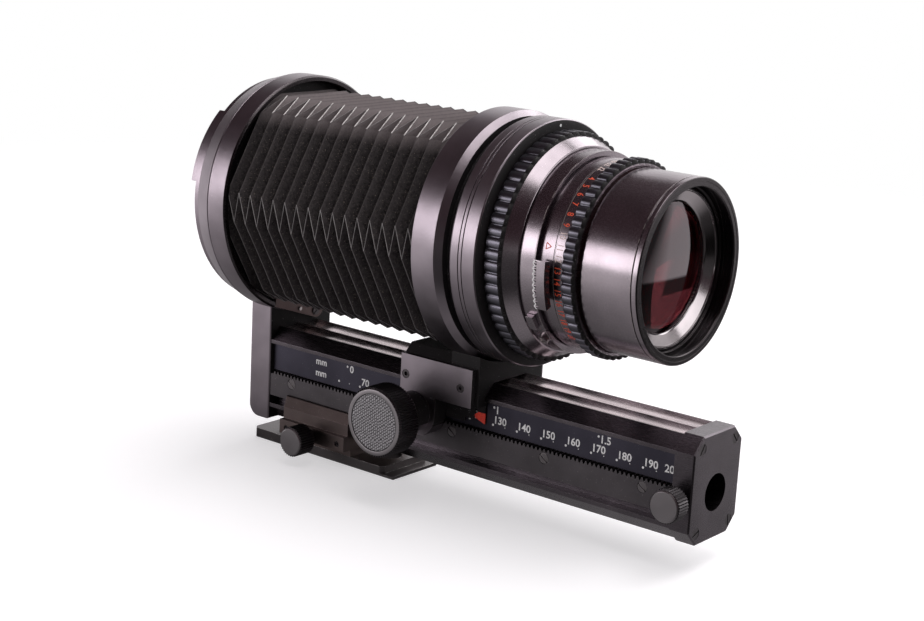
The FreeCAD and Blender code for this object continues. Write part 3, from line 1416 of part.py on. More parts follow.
NODES = {
    "rail": make_rail,
    "scale_strip": make_scale_strip,
    "rack": make_rack,
    "rack_screws": make_rack_screws,
    "end_plate": make_end_plate,
    "end_plate_screws": make_end_plate_screws,
    "rear_post": make_rear_post,
    "post_screws": make_post_screws,
    "rear_ring": make_rear_ring,
    "rear_cover": make_rear_cover,
    "camera_flange": make_camera_flange,
    "flange_screws": make_flange_screws,
    "rear_bellows_frame": lambda: bellows_frame(rear_ring_seam + rear_ring_wall),
    "coupling_cover": make_coupling_cover,
    "coupling_cover_screw": make_coupling_cover_screw,
    "coupling_pin": make_coupling_pin,
    "bellows": make_bellows,
    "front_ring": make_front_ring,
    "front_bellows_frame": lambda: bellows_frame(lens_face_x + front_ring_floor - bellows_frame_t),
    "lens_mount": make_lens_mount,
    "carriage": make_carriage,
    "carriage_side_near": lambda: make_side_plate(-1),
    "carriage_side_far": lambda: make_side_plate(1),
    "carriage_screws": make_side_screws,
    "pointer": make_pointer,
    "lens_barrel": make_lens_barrel,
    "mid_barrel": make_mid_barrel,
    "sync_socket": make_sync_socket,
    "front_barrel": make_front_barrel,
    "name_ring": make_name_ring,
    "front_glass": make_front_glass,
    "inner_glass": make_inner_glass,
    "rear_glass": make_rear_glass,
    "rear_retainer": make_rear_retainer,
    "iris_blades": make_iris_blades,
    "shutter_ring": make_shutter_ring,
    "aperture_ring": make_aperture_ring,
    "coupling_tab": make_coupling_tab,
    "sync_lever": make_sync_lever,
    "focus_knob": make_focus_knob,
    "knob_inlay": make_knob_inlay,
    "pinion": make_pinion,
    "lock_knob": make_lock_knob,
    "tripod_block": make_tripod_block,
    "tripod_foot": make_tripod_foot,
    "socket_bush": make_socket_bush,
    "foot_screws": make_foot_screws,
    "block_screws": make_block_screws,
    "block_knob": make_block_knob,
    "end_knob": make_end_knob,
}


def main():
    os.makedirs("parts", exist_ok=True)
    for name, make in NODES.items():
        shape = make()
        print(name, "valid" if shape.isValid() else "NOT VALID", len(shape.Solids), round(shape.Volume, 1))
        shape.exportStep(f"parts/{name}.step")


main()
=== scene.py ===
import math
import bmesh
import bpy
from mathutils import Matrix, Vector, noise


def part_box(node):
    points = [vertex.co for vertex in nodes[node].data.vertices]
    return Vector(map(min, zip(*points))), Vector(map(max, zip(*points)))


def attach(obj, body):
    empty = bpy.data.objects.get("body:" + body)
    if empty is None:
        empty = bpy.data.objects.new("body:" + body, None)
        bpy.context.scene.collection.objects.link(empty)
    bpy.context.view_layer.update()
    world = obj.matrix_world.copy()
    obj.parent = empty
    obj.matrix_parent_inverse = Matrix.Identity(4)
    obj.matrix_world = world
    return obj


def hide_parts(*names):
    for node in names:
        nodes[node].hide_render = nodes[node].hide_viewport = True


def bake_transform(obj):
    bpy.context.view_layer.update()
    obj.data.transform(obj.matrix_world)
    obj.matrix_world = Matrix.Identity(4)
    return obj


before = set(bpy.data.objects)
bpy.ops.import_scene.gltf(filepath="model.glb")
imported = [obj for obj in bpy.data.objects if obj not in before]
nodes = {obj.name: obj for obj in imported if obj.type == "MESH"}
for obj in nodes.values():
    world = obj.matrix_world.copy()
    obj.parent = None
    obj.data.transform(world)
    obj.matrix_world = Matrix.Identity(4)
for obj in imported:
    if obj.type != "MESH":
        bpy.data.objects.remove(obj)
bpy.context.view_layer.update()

# Everything is in metres in the frame of the solids: +X along the rail towards
# the subject, +Z up, the knobs on the -Y side.  Profiles and places are written
# in millimetres and start from the solids' own boxes.

MM = 0.001


class Box:
    """A node's box at rest, in millimetres."""

    def __init__(self, node):
        low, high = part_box(node)
        self.x0, self.y0, self.z0 = (v / MM for v in low)
        self.x1, self.y1, self.z1 = (v / MM for v in high)
        self.cx = (self.x0 + self.x1) / 2
        self.cy = (self.y0 + self.y1) / 2
        self.cz = (self.z0 + self.z1) / 2
        self.r = (self.z1 - self.z0) / 2


AXIS_Z = Box("front_barrel").cz


def from_axis(p):
    """Distance in millimetres of a point from the lens's axis."""
    return math.hypot(p.y, p.z - AXIS_Z)


# ---------- materials

def fill(node, values):
    """Sets a node's inputs by their names."""
    for key, value in values.items():
        node.inputs[key].default_value = value


def material(name, color, roughness, metallic=0.0, specular=0.5, ior=1.5):
    """A Principled material with its constant values on the shader's own sockets."""
    mat = bpy.data.materials.new(name)
    mat.use_nodes = True
    fill(mat.node_tree.nodes["Principled BSDF"], {
        "Base Color": (*color, 1),
        "Roughness": roughness,
        "Metallic": metallic,
        "Specular IOR Level": specular,
        "IOR": ior,
    })
    return mat


class Tree:
    """Short calls for adding nodes to a material or to the world."""

    def __init__(self, tree):
        self.tree = tree
        self.shader = tree.nodes.get("Principled BSDF")

    def node(self, kind, **values):
        made = self.tree.nodes.new(kind)
        for key, value in values.items():
            setattr(made, key, value)
        return made

    def link(self, source, target):
        self.tree.links.new(source, target)

    def place(self, scale=(1, 1, 1)):
        """Object coordinates, stretched."""
        coords = self.node("ShaderNodeTexCoord")
        mapping = self.node("ShaderNodeMapping")
        fill(mapping, {"Scale": scale})
        self.link(coords.outputs["Object"], mapping.inputs["Vector"])
        return mapping.outputs["Vector"]

    def noise(self, scale, detail=4.0, roughness=0.6, stretch=(1, 1, 1)):
        """Soft noise from 0 to 1; the scale is how many features a metre holds."""
        made = self.node("ShaderNodeTexNoise")
        fill(made, {"Scale": scale, "Detail": detail, "Roughness": roughness})
        self.link(self.place(stretch), made.inputs["Vector"])
        return made.outputs["Fac"]

    def span(self, value, low, high, to_low=0.0, to_high=1.0, curve="LINEAR"):
        """The value's stretch from low to high mapped to a new stretch, clamped."""
        made = self.node("ShaderNodeMapRange", interpolation_type=curve)
        self.link(value, made.inputs["Value"])
        fill(made, {"From Min": low, "From Max": high, "To Min": to_low, "To Max": to_high})
        return made.outputs["Result"]

    def joined(self, operation, a, b):
        made = self.node("ShaderNodeMath", operation=operation)
        self.link(a, made.inputs[0])
        self.link(b, made.inputs[1])
        return made.outputs["Value"]

    def times(self, a, b):
        return self.joined("MULTIPLY", a, b)

    def either(self, a, b):
        return self.joined("MAXIMUM", a, b)

    def dot(self, a, b):
        """Dot product of a socket with another socket or with a fixed direction."""
        made = self.node("ShaderNodeVectorMath", operation="DOT_PRODUCT")
        self.link(a, made.inputs[0])
        if isinstance(b, tuple):
            made.inputs[1].default_value = b
        else:
            self.link(b, made.inputs[1])
        return made.outputs["Value"]

    def mixed(self, share, a, b):
        """Colour a turning to colour b; either may be a socket."""
        made = self.node("ShaderNodeMix", data_type="RGBA")
        self.link(share, made.inputs["Factor"])
        for key, colour in (("A", a), ("B", b)):
            socket = [s for s in made.inputs if s.name == key and s.type == "RGBA"][0]
            if isinstance(colour, tuple):
                socket.default_value = (*colour, 1)
            else:
                self.link(colour, socket)
        return [s for s in made.outputs if s.type == "RGBA"][0]

    def rub(self):
        """The mesh's "rub" attribute: how far a point is worn; on the knob's leatherette, how high a grain
        stands, painted as a highlight.
        """
        return self.node("ShaderNodeAttribute", attribute_name="rub").outputs["Fac"]

    def edges(self, radius_mm):
        """1 on outer and inner edges, 0 on open faces."""
        flat, sharp = 0.992, 0.90
        bevel = self.node("ShaderNodeBevel", samples=6)
        fill(bevel, {"Radius": radius_mm * MM})
        face = self.node("ShaderNodeNewGeometry")
        return self.span(self.dot(bevel.outputs["Normal"], face.outputs["Normal"]), flat, sharp)

    def bump(self, height, distance_mm):
        made = self.node("ShaderNodeBump")
        fill(made, {"Distance": distance_mm * MM})
        self.link(height, made.inputs["Height"])
        self.link(made.outputs["Normal"], self.shader.inputs["Normal"])

    def paint(self, color):
        self.link(color, self.shader.inputs["Base Color"])


def worn_metal(name, color, roughness, edge=(0.4, 0.37, 0.38), wear=0.5, edge_mm=0.25, grain=0.012,
               stretch=(1, 1, 1), metallic=1.0, specular=0.5):
    """Anodised metal: fine grain, slow drift of tone, fine dust, and paler edges that are partly wear and
    partly a painted highlight.
    """
    mat = material(name, color, roughness, metallic, specular)
    t = Tree(mat.node_tree)
    grain_mm, drift, dustiest = 0.12, 0.18, 0.55
    darker = tuple(c * (1 - drift) for c in color)
    lighter = tuple(c * (1 + drift) for c in color)
    slow = t.noise(38.0, 3.0, 0.6)
    toned = t.mixed(t.span(slow, 0.35, 0.65), darker, lighter)
    dust = t.span(t.noise(2600.0, 1.0, 0.5), 0.735, 0.77, 0.0, dustiest)
    dusty = t.mixed(dust, toned, edge)
    broken = t.span(t.noise(420.0, 4.0, 0.7), 0.42, 0.62)
    # Paler edges: partly wear, partly a painted highlight along every edge.
    wear_and_highlight = t.span(t.times(t.edges(edge_mm), broken), 0.0, 1.0, 0.0, wear)
    t.paint(t.mixed(wear_and_highlight, dusty, edge))
    fine = t.noise(1 / (grain_mm * MM), 2.0, 0.5, stretch)
    t.link(t.span(fine, 0.3, 0.7, roughness - 0.05, roughness + 0.06), t.shader.inputs["Roughness"])
    t.bump(fine, grain)
    return mat


def make_cloth():
    """Velvety bellows cloth: near-black nap with pale specks, paler on top from dust and painted light,
    and paler where a fold rubs.
    """
    mat = material("bellows_cloth", (0.02, 0.017, 0.017), 0.95, specular=0.12)
    nap_dark, nap_light = (0.010, 0.008, 0.009), (0.060, 0.052, 0.052)
    dust, speck, rubbed = (0.26, 0.22, 0.225), (0.24, 0.20, 0.17), (0.13, 0.115, 0.118)
    dust_and_light_from, dust_and_light_to = AXIS_Z + 27, AXIS_Z + 33
    t = Tree(mat.node_tree)
    fill(t.shader, {"Sheen Weight": 0.26, "Sheen Roughness": 0.5, "Sheen Tint": (0.42, 0.37, 0.37, 1)})
    mottled = t.mixed(t.span(t.noise(900.0, 5.0, 0.75), 0.35, 0.7), nap_dark, nap_light)
    height = t.node("ShaderNodeSeparateXYZ")
    t.link(t.place(), height.inputs["Vector"])
    # Paler towards the top: partly dust, partly painted light where the overhead light falls.
    dusty = t.mixed(t.span(height.outputs["Z"], dust_and_light_from * MM, dust_and_light_to * MM), mottled, dust)
    speckled = t.mixed(t.span(t.noise(2100.0, 1.0, 0.5), 0.66, 0.74, 0.0, 0.75), dusty, speck)
    broken = t.span(t.noise(700.0, 3.0, 0.6), 0.3, 0.7, 0.55, 1.0)
    t.paint(t.mixed(t.times(t.rub(), broken), speckled, rubbed))
    t.bump(t.noise(1600.0, 4.0, 0.7), 0.09)
    return mat


def make_fold_edge():
    """The bare edge of the folded sheet, whitish where the "rub" attribute is high."""
    mat = material("fold_edge", (0.5, 0.45, 0.44), 0.6, specular=0.4)
    whole, bare_dark, bare_light = (0.085, 0.078, 0.082), (0.30, 0.27, 0.27), (0.74, 0.70, 0.69)
    t = Tree(mat.node_tree)
    bare = t.mixed(t.span(t.noise(500.0, 4.0, 0.7), 0.3, 0.6), bare_dark, bare_light)
    t.paint(t.mixed(t.rub(), whole, bare))
    return mat


def make_leatherette():
    """Grained black leatherette with grey painted highlights on top of each grain, by the "rub" attribute.
    """
    mat = material("leatherette", (0.09, 0.082, 0.088), 0.36, specular=0.6)
    groove, highlight_dark, highlight_light = (0.022, 0.020, 0.022), (0.34, 0.32, 0.34), (0.52, 0.50, 0.52)
    t = Tree(mat.node_tree)
    grain_highlights = t.mixed(t.noise(600.0, 4.0, 0.7), highlight_dark, highlight_light)
    t.paint(t.mixed(t.rub(), groove, grain_highlights))
    t.bump(t.noise(5000.0, 3.0, 0.6), 0.02)
    return mat


def make_paint(name, color, roughness):
    """Filled figures and marks, slightly uneven."""
    mat = material(name, color, roughness)
    t = Tree(mat.node_tree)
    dull = tuple(c * 0.78 for c in color)
    t.paint(t.mixed(t.span(t.noise(1500.0, 3.0, 0.6), 0.35, 0.65), dull, color))
    return mat


def make_glass(name, color, grazing, index, tint):
    """Coated glass: one colour straight on, another at grazing angles, slightly smudged."""
    mat = material(name, color, 0.012, ior=index)
    t = Tree(mat.node_tree)
    fill(t.shader, {"Transmission Weight": 1.0, "Specular Tint": (*tint, 1)})
    facing = t.node("ShaderNodeLayerWeight")
    fill(facing, {"Blend": 0.35})
    t.paint(t.mixed(facing.outputs["Facing"], color, grazing))
    smudge = t.span(t.noise(60.0, 3.0, 0.6), 0.4, 0.8, 0.0, 0.02)
    t.link(smudge, t.shader.inputs["Roughness"])
    return mat


# Pale edge colour: partly wear, partly a painted highlight.
WORN_EDGE_HIGHLIGHT = (0.62, 0.57, 0.56)
ALONG_RAIL = (0.03, 1, 1)       # grain drawn out along the rail

# Colour, roughness, and what differs from a plain worn metal.
METALS = {
    "body_black": ((0.285, 0.250, 0.276), 0.33, dict(wear=0.3)),
    # The rail's top channel painted bright: a painted reflection.
    "rail_top_reflection": ((0.62, 0.53, 0.55), 0.26, dict(wear=0.3, stretch=ALONG_RAIL, grain=0.01)),
    "gloss_ring": ((0.34, 0.31, 0.32), 0.14, dict(wear=0.4, edge_mm=0.12, grain=0.002)),
    "rail_black": ((0.125, 0.110, 0.122), 0.28, dict(wear=0.4, stretch=ALONG_RAIL, grain=0.02)),
    "lens_black": ((0.340, 0.300, 0.325), 0.23,
                   dict(edge=WORN_EDGE_HIGHLIGHT, wear=0.8, edge_mm=0.3, grain=0.004)),
    "grip_black": ((0.130, 0.126, 0.148), 0.32, dict(wear=0.25, edge_mm=0.15)),
    "scale_blue": ((0.068, 0.064, 0.084), 0.44, dict(wear=0.1, grain=0.006)),
    "rack_grey": ((0.115, 0.105, 0.112), 0.42, dict(wear=0.4, stretch=(0.1, 1, 1))),
    "steel": ((0.20, 0.185, 0.19), 0.36, dict(wear=0.4)),
    "black_screw": ((0.10, 0.09, 0.095), 0.35, {}),
    "block_grey": ((0.18, 0.142, 0.136), 0.38, {}),
    # The block's upper faces painted dark: painted shade.
    "block_top_shade": ((0.055, 0.042, 0.040), 0.5, dict(wear=0.6, grain=0.03)),
    "foot_grey": ((0.13, 0.118, 0.120), 0.34, dict(edge=(0.72, 0.70, 0.68), wear=0.9, edge_mm=0.3)),
    "knob_black": ((0.060, 0.054, 0.058), 0.38, dict(edge_mm=0.12)),
    "knob_face": ((0.30, 0.28, 0.29), 0.34, dict(wear=0.3)),
    "chrome": ((0.42, 0.38, 0.38), 0.2, dict(wear=0.2)),
    "blade": ((0.03, 0.03, 0.03), 0.4, dict(wear=0.2)),
    # Darker lens metal for the bay and the front faces of rims and lips: painted shade.
    "lens_inner_shade": ((0.070, 0.062, 0.066), 0.26, dict(edge=(0.5, 0.46, 0.42), wear=0.7, edge_mm=0.15)),
    "warm_black": ((0.115, 0.085, 0.083), 0.36, {}),
    # Matt black: painted shade in pits and on faces turned from the light, and the black of the pointer
    # plate.
    "black_and_painted_shade": ((0.012, 0.010, 0.011), 0.62, dict(wear=0.12, metallic=0.0, specular=0.25)),
    # Maroon matt inside of the lens: a painted reflection of the glass's red coating.
    "lens_inside_red_reflection": ((0.085, 0.020, 0.024), 0.5, dict(wear=0.0, metallic=0.0, specular=0.3)),
}
# Colour and roughness.
PAINTS = {
    "pointer_red": ((0.82, 0.055, 0.03), 0.45),
    "white_mark": ((0.94, 0.93, 0.93), 0.45),
    "pale_mark": ((0.86, 0.68, 0.64), 0.45),
    "red_mark": ((0.85, 0.10, 0.04), 0.45),
    "worn_line": ((0.34, 0.29, 0.28), 0.3),
}
# Colour straight on and at grazing angles, index and the reflection's tint.
GLASSES = {
    "lens_glass": ((0.62, 0.13, 0.16), (0.40, 0.12, 0.12), 1.95, (1.0, 0.86, 0.92)),
    "clear_glass": ((0.80, 0.74, 0.70), (0.5, 0.4, 0.42), 1.7, (1, 1, 1)),
    "coated_glass": ((0.5, 0.25, 0.26), (0.30, 0.10, 0.10), 2.4, (1.0, 0.6, 0.6)),
}


def make_looks():
    """Every material of the object: the record's slots, and some shades beside them."""
    made = {name: worn_metal(name, color, rough, **more) for name, (color, rough, more) in METALS.items()}
    made.update(bellows_cloth=make_cloth(), fold_edge=make_fold_edge(), leatherette=make_leatherette())
    made.update({name: make_paint(name, *values) for name, values in PAINTS.items()})
    made.update({name: make_glass(name, *values) for name, values in GLASSES.items()})
    return made


looks = make_looks()

# The record's slot of each node, which also names its main look.
SLOT_OF = {
    "body_black": ["rear_post", "rear_ring", "rear_cover", "camera_flange", "front_ring", "lens_mount",
                   "carriage", "carriage_side_near", "carriage_side_far", "coupling_cover",
                   "rear_bellows_frame", "front_bellows_frame"],
    "rail_black": ["rail", "end_plate"],
    "lens_black": ["lens_barrel", "mid_barrel", "front_barrel", "name_ring", "rear_retainer",
                   "coupling_tab", "sync_lever", "shutter_ring", "aperture_ring"],
    "scale_blue": ["scale_strip"],
    "rack_grey": ["rack"],
    "steel": ["rack_screws", "socket_bush", "foot_screws", "pinion"],
    "black_screw": ["post_screws", "flange_screws", "end_plate_screws", "carriage_screws",
                    "block_screws", "coupling_cover_screw"],
    "block_grey": ["tripod_block"],
    "foot_grey": ["tripod_foot"],
    "knob_black": ["focus_knob", "lock_knob", "block_knob", "end_knob"],
    "leatherette": ["knob_inlay"],
    "pointer_red": ["pointer"],
    "chrome": ["sync_socket", "coupling_pin"],
    "blade": ["iris_blades"],
    "lens_glass": ["front_glass", "inner_glass", "rear_glass"],
    "bellows_cloth": ["bellows"],
}
SMALL_BEVEL_MM = 0.12
BEVEL_MM = {"rail": 0.25, "end_plate": 0.3, "rear_post": 0.35, "carriage": 0.25, "tripod_block": 0.35}


def finish_solids():
    """Gives every solid its material, small bevels and clean shading."""
    for look, names in SLOT_OF.items():
        for name in names:
            solid = nodes[name]
            solid.data.materials.clear()
            solid.data.materials.append(looks[look])
            solid.data.shade_smooth()
            soften(solid, BEVEL_MM.get(name, SMALL_BEVEL_MM))


def soften(solid, width_mm):
    """Welds a mesh, bevels its edges and lets the flat faces set the shading."""
    weld_mm, flat_deg, sharp_deg = 0.002, 0.4, 13.0
    solid.modifiers.new("weld", "WELD").merge_threshold = weld_mm * MM
    flat = solid.modifiers.new("flat", "DECIMATE")
    flat.decimate_type = "DISSOLVE"
    flat.angle_limit = math.radians(flat_deg)
    flat.delimit = {"MATERIAL"}
    bevel = solid.modifiers.new("bevel", "BEVEL")
    bevel.angle_limit = math.radians(sharp_deg)
    bevel.width = width_mm * MM
    bevel.segments = 2
    solid.modifiers.new("weighted", "WEIGHTED_NORMAL")


def dress(mesh, look, chosen):
    """Gives a second look to the faces of a mesh that a test of centre (mm) and normal chooses."""
    mesh.materials.append(looks[look])
    for face in mesh.polygons:
        if chosen(face.center / MM, face.normal):
            face.material_index = len(mesh.materials) - 1


# A face looks along an axis, or leans towards it, where its normal's share of that axis is more.
FACING, LEANING = 0.9, 0.5


def dress_faces():
    """Looks that a solid has beside its main one: painted shade in pits, on inner surfaces and on faces
    turned from the light, a painted reflection on the rail's top, and the small knobs' faces.
    """
    def on(name, look, chosen):
        dress(nodes[name].data, look, chosen)

    # Faces that look along +X, away from the light, are painted matt black: painted shade.
    for name in ("lens_mount", "lens_barrel", "rear_post", "carriage_side_near"):
        on(name, "black_and_painted_shade", lambda p, n: n.x > FACING)

    # The carriage is painted matt black in front, on top and on its near wall: painted shade.
    side, slack, upwards = Box("carriage_side_near"), 0.5, 0.4
    on("carriage", "black_and_painted_shade", lambda p, n: n.x > FACING or n.z > upwards)
    on("carriage", "black_and_painted_shade", lambda p, n: n.y < -FACING and p.y > side.y1 - slack)

    # The front ring's groove and bore and the rear ring's cup are painted matt black, and the front of the
    # rear ring's lip a darker metal: painted shade.
    mount, front, rear = Box("lens_mount"), Box("front_ring"), Box("rear_ring")
    groove_w, groove_wall, bore_depth, bore_wall, lip = 3.3, 0.75, 6, 3, 1.9
    groove_x, groove_r = mount.x0 - groove_w, mount.r - groove_wall
    bore_x, bore_r = front.x0 + bore_depth, front.r - bore_wall
    on("front_ring", "black_and_painted_shade", lambda p, n: p.x > groove_x and from_axis(p) < groove_r)
    on("front_ring", "black_and_painted_shade", lambda p, n: p.x < bore_x and from_axis(p) < bore_r and n.x < LEANING)
    on("rear_ring", "black_and_painted_shade", lambda p, n: from_axis(p) < rear.r - lip)
    on("rear_ring", "lens_inner_shade", lambda p, n: n.x > LEANING and from_axis(p) > rear.r - lip - slack)

    # The lens's filter bay and front rim take a darker metal as painted shade; its inside behind the glass
    # takes a maroon matt tone, a painted reflection of the glass's red coating.
    barrel, mid = Box("front_barrel"), Box("mid_barrel")
    bay_depth, bay_wall, inner_wall, mid_wall, ledge = 5.0, 1.2, 3, 4, 0.8
    seat_x, bay_r = barrel.x1 - bay_depth - bay_wall, barrel.r - bay_wall
    on("front_barrel", "lens_inner_shade", lambda p, n: p.x > seat_x and from_axis(p) < bay_r)
    on("front_barrel", "lens_inside_red_reflection", lambda p, n: p.x < seat_x - ledge and from_axis(p) < bay_r - inner_wall)
    on("front_barrel", "lens_inner_shade", lambda p, n: n.x > LEANING and from_axis(p) > bay_r - slack)
    on("mid_barrel", "lens_inside_red_reflection", lambda p, n: from_axis(p) < mid.r - mid_wall)

    # Pieces that share a slot and take another look as a whole.
    for name, look in (("rear_glass", "clear_glass"), ("inner_glass", "coated_glass"),
                       ("coupling_cover", "warm_black")):
        on(name, look, lambda p, n: True)

    # The rail's top painted bright, a painted reflection; the block's upper faces painted dark, painted
    # shade; and the small knobs' round faces.
    hollow_edge, hollow_floor, face_w, upwards = 8.9, Box("rail").z1 - 6.0, 0.35, 0.2
    on("rail", "rail_top_reflection", lambda p, n: n.z > upwards and abs(p.y) < hollow_edge and p.z > hollow_floor)
    on("tripod_block", "block_top_shade", lambda p, n: n.z > upwards)
    for knob in ("block_knob", "end_knob", "lock_knob"):
        box = Box(knob)
        face_y = box.y0 if box.cy < 0 else box.y1
        on(knob, "knob_face", lambda p, n: abs(p.y - face_y) < face_w and abs(n.y) > LEANING)


# ---------- mesh tools

def piece(name, points, faces, look, body, smooth=True, closed=False):
    """A mesh piece from points in millimetres, riding on a body."""
    mesh = bpy.data.meshes.new(name)
    mesh.from_pydata([Vector(p) * MM for p in points], [], faces)
    mesh.validate()
    if closed:
        shell = bmesh.new()
        shell.from_mesh(mesh)
        bmesh.ops.recalc_face_normals(shell, faces=shell.faces)
        shell.to_mesh(mesh)
        shell.free()
    mesh.materials.append(looks[look])
    if smooth:
        mesh.shade_smooth()
    made = bpy.data.objects.new(name, mesh)
    bpy.context.scene.collection.objects.link(made)
    if body:
        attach(made, body)
    return made


def set_rub(mesh, values):
    """Stores how far each point is worn; on the leatherette, how high each grain stands, for its painted
    highlight.
    """
    mesh.attributes.new("rub", "FLOAT", "POINT").data.foreach_set("value", values)


def tube(a, b, count):
    """Four-sided faces between two closed rings of points, numbered from a and from b."""
    turn = [(k, (k + 1) % count) for k in range(count)]
    return [(a + k, a + m, b + m, b + k) for k, m in turn]


def rounded(profile, radius, cuts=3):
    """A closed profile of (along, r, grip, shift) with each corner turned into a small arc."""
    full = [tuple(p) + (0,) * (4 - len(p)) for p in profile]
    if not radius:
        return full
    made = []
    count = len(full)
    for i, point in enumerate(full):
        here = Vector(point[:2])
        before = Vector(full[i - 1][:2]) - here
        after = Vector(full[(i + 1) % count][:2]) - here
        reach = min(radius, before.length * 0.45, after.length * 0.45)
        start = here + before.normalized() * reach
        end = here + after.normalized() * reach
        for k in range(cuts + 1):
            s = k / cuts
            spot = start * (1 - s) ** 2 + here * 2 * s * (1 - s) + end * s ** 2
            made.append((spot.x, spot.y, *point[2:]))
    return made


def turned(name, profile, look, body, centre, axis="X", steps=192, ripple=None, soft=0.2):
    """A closed profile of (along, r) turned about an axis through a centre.

    A point's third number says how far the ripple takes it inwards, its fourth how far back.
    """
    ring = rounded(profile, soft)
    points = []
    for i in range(steps):
        a = 2 * math.pi * i / steps
        wave = ripple(a) if ripple else 0
        for along, r, grip, shift in ring:
            r -= grip * wave
            along -= shift * wave
            c, s = r * math.cos(a), r * math.sin(a)
            if axis == "X":
                points.append((along, centre[0] + c, centre[1] + s))
            else:
                points.append((centre[0] + c, along, centre[1] + s))
    n = len(ring)
    faces = []
    for i in range(steps):
        faces += tube(i * n, (i + 1) % steps * n, n)
    made = piece(name, points, faces, look, body, closed=True)
    made.modifiers.new("weighted", "WEIGHTED_NORMAL")
    return made


# ---------- bellows

SIDES = 6
PLEATS = 16
LENGTHS = 11                # the sheet is cut into as many lengths, each blended by itself
FOLD_LEAD = 2.0
RIDGE_TRIM = 6.1
PLEAT_DEPTH = 8.5
VALLEY_HALF = 19.6
FOLD_SPANS = 8
SWAY_MM = 0.22              # how far the cloth wanders from flat along a fold
CORNER_RUB = 0.25
STRIP_SIDES = 5
CLOTH, BARE_EDGE = 0, 1     # the sheet's material indices

# Rows of points across a flank: the share of the way from crest to root, and how worn the row is.
FLANK_ROWS = ((0.0, 1.0), (0.055, 0.35), (0.5, 0.0), (1.0, 0.0))

# How thick and how bare the corner edges are, for the folds that lean forward and those that lean
# back.  Side 0 is the top, side 1 the upper near one and side 2 the lower near one.
CORNER_WEAR = {
    0: ((0.20, 1.0), (0.10, 0.35)),
    1: ((0.12, 0.42), (0.12, 0.34)),
    2: ((0.10, 0.2), (0.10, 0.2)),
}
CORNER_PLAIN = ((0.10, 0.15), (0.10, 0.15))
# How thick and how pale the strips along the long crests are, where the light catches them: a painted
# highlight.
CREST_HIGHLIGHT = {2: (0.10, 0.22)}


def bellows_sizes():
    """The folded sheet's places, from the solid's own box."""
    box = Box("bellows")
    apothem = (box.z1 - box.z0) / 2
    vertex = apothem / math.cos(math.pi / 6)
    return {
        "x0": box.x0,
        "z": box.cz,
        "apothem": apothem,
        "ridge_half": vertex / 2 - RIDGE_TRIM,
        "pitch": (box.x1 - box.x0 - FOLD_LEAD) / PLEATS,
    }


def is_ridge(j, side):
    return (side + j) % 2 == 0


def station_x(b, j):
    return b["x0"] + b["pitch"] * (j // 2) + FOLD_LEAD * (j % 2)


def side_frame(side):
    """Outward and along directions of one side of the six."""
    a = math.pi / 2 + side * math.pi / 3
    return Vector((0, math.cos(a), math.sin(a))), Vector((0, -math.sin(a), math.cos(a)))


def fold_line(b, j, side):
    """Points along one side's fold at station j, wandering a little between its ends."""
    out, along = side_frame(side)
    ridge = is_ridge(j, side)
    apothem = b["apothem"] if ridge else b["apothem"] - PLEAT_DEPTH
    half = b["ridge_half"] if ridge else VALLEY_HALF
    middle = Vector((station_x(b, j), 0, b["z"])) + out * apothem
    start, end = middle + along * -half, middle + along * half
    line = []
    for i in range(FOLD_SPANS + 1):
        s = i / FOLD_SPANS
        spot = start.lerp(end, s)
        sway = noise.noise(Vector((spot.x * 0.9, spot.y * 0.11, spot.z * 0.11))) * SWAY_MM
        line.append(spot + out * sway * math.sin(math.pi * s))
    return line


def make_bellows():
    """The sheet in short lengths, each blended between the two standards."""
    b = bellows_sizes()
    per = (2 * PLEATS + 1) // LENGTHS
    for k in range(LENGTHS):
        made = bellows_length(b, k, per)
        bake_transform(made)
        if k == 0:
            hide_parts("bellows")


class Sheet:
    """Gathers one length's points, how worn each is, and its faces with their material."""

    def __init__(self):
        self.points, self.rub = [], []
        self.faces, self.kinds = [], []

    def add(self, p, worn):
        self.points.append(p)
        self.rub.append(worn)
        return len(self.points) - 1

    def face(self, ids, kind=CLOTH):
        self.faces.append(ids)
        self.kinds.append(kind)

    def flank(self, here, there, ridge_here):
        """One side's flank from its fold here to its fold there, rubbed at the ridge's crest."""
        crest, root = (here, there) if ridge_here else (there, here)
        rows = [[(c.lerp(r, share), worn) for c, r in zip(crest, root)] for share, worn in FLANK_ROWS]
        if not ridge_here:
            rows.reverse()
        ids = [[self.add(p, worn) for p, worn in row] for row in rows]
        for low, high in zip(ids, ids[1:]):
            for i in range(FOLD_SPANS):
                self.face((low[i], low[i + 1], high[i + 1], high[i]))

    def corner(self, here, next_here, there, next_there, side, ridge_here):
        """The two triangles between a side and the next, and the bare edge of their fold."""
        a, b, c, d = (self.add(p, CORNER_RUB) for p in (here, next_here, there, next_there))
        forward, back = CORNER_WEAR.get(side, CORNER_PLAIN)
        if ridge_here:
            self.face((a, d, c))
            self.face((a, b, d))
            self.strip(here, next_there, *forward)
        else:
            self.face((b, c, a))
            self.face((b, d, c))
            self.strip(next_here, there, *back)

    def strip(self, start, end, radius, bare):
        """A thin bead of bare edge from one point to another."""
        along = (end - start).normalized()
        side = along.orthogonal().normalized()
        up = along.cross(side)
        base = len(self.points)
        for middle in (start, end):
            for k in range(STRIP_SIDES):
                a = 2 * math.pi * k / STRIP_SIDES
                self.add(middle + (side * math.cos(a) + up * math.sin(a)) * radius, bare)
        for quad in tube(base, base + STRIP_SIDES, STRIP_SIDES):
            self.face(quad, BARE_EDGE)


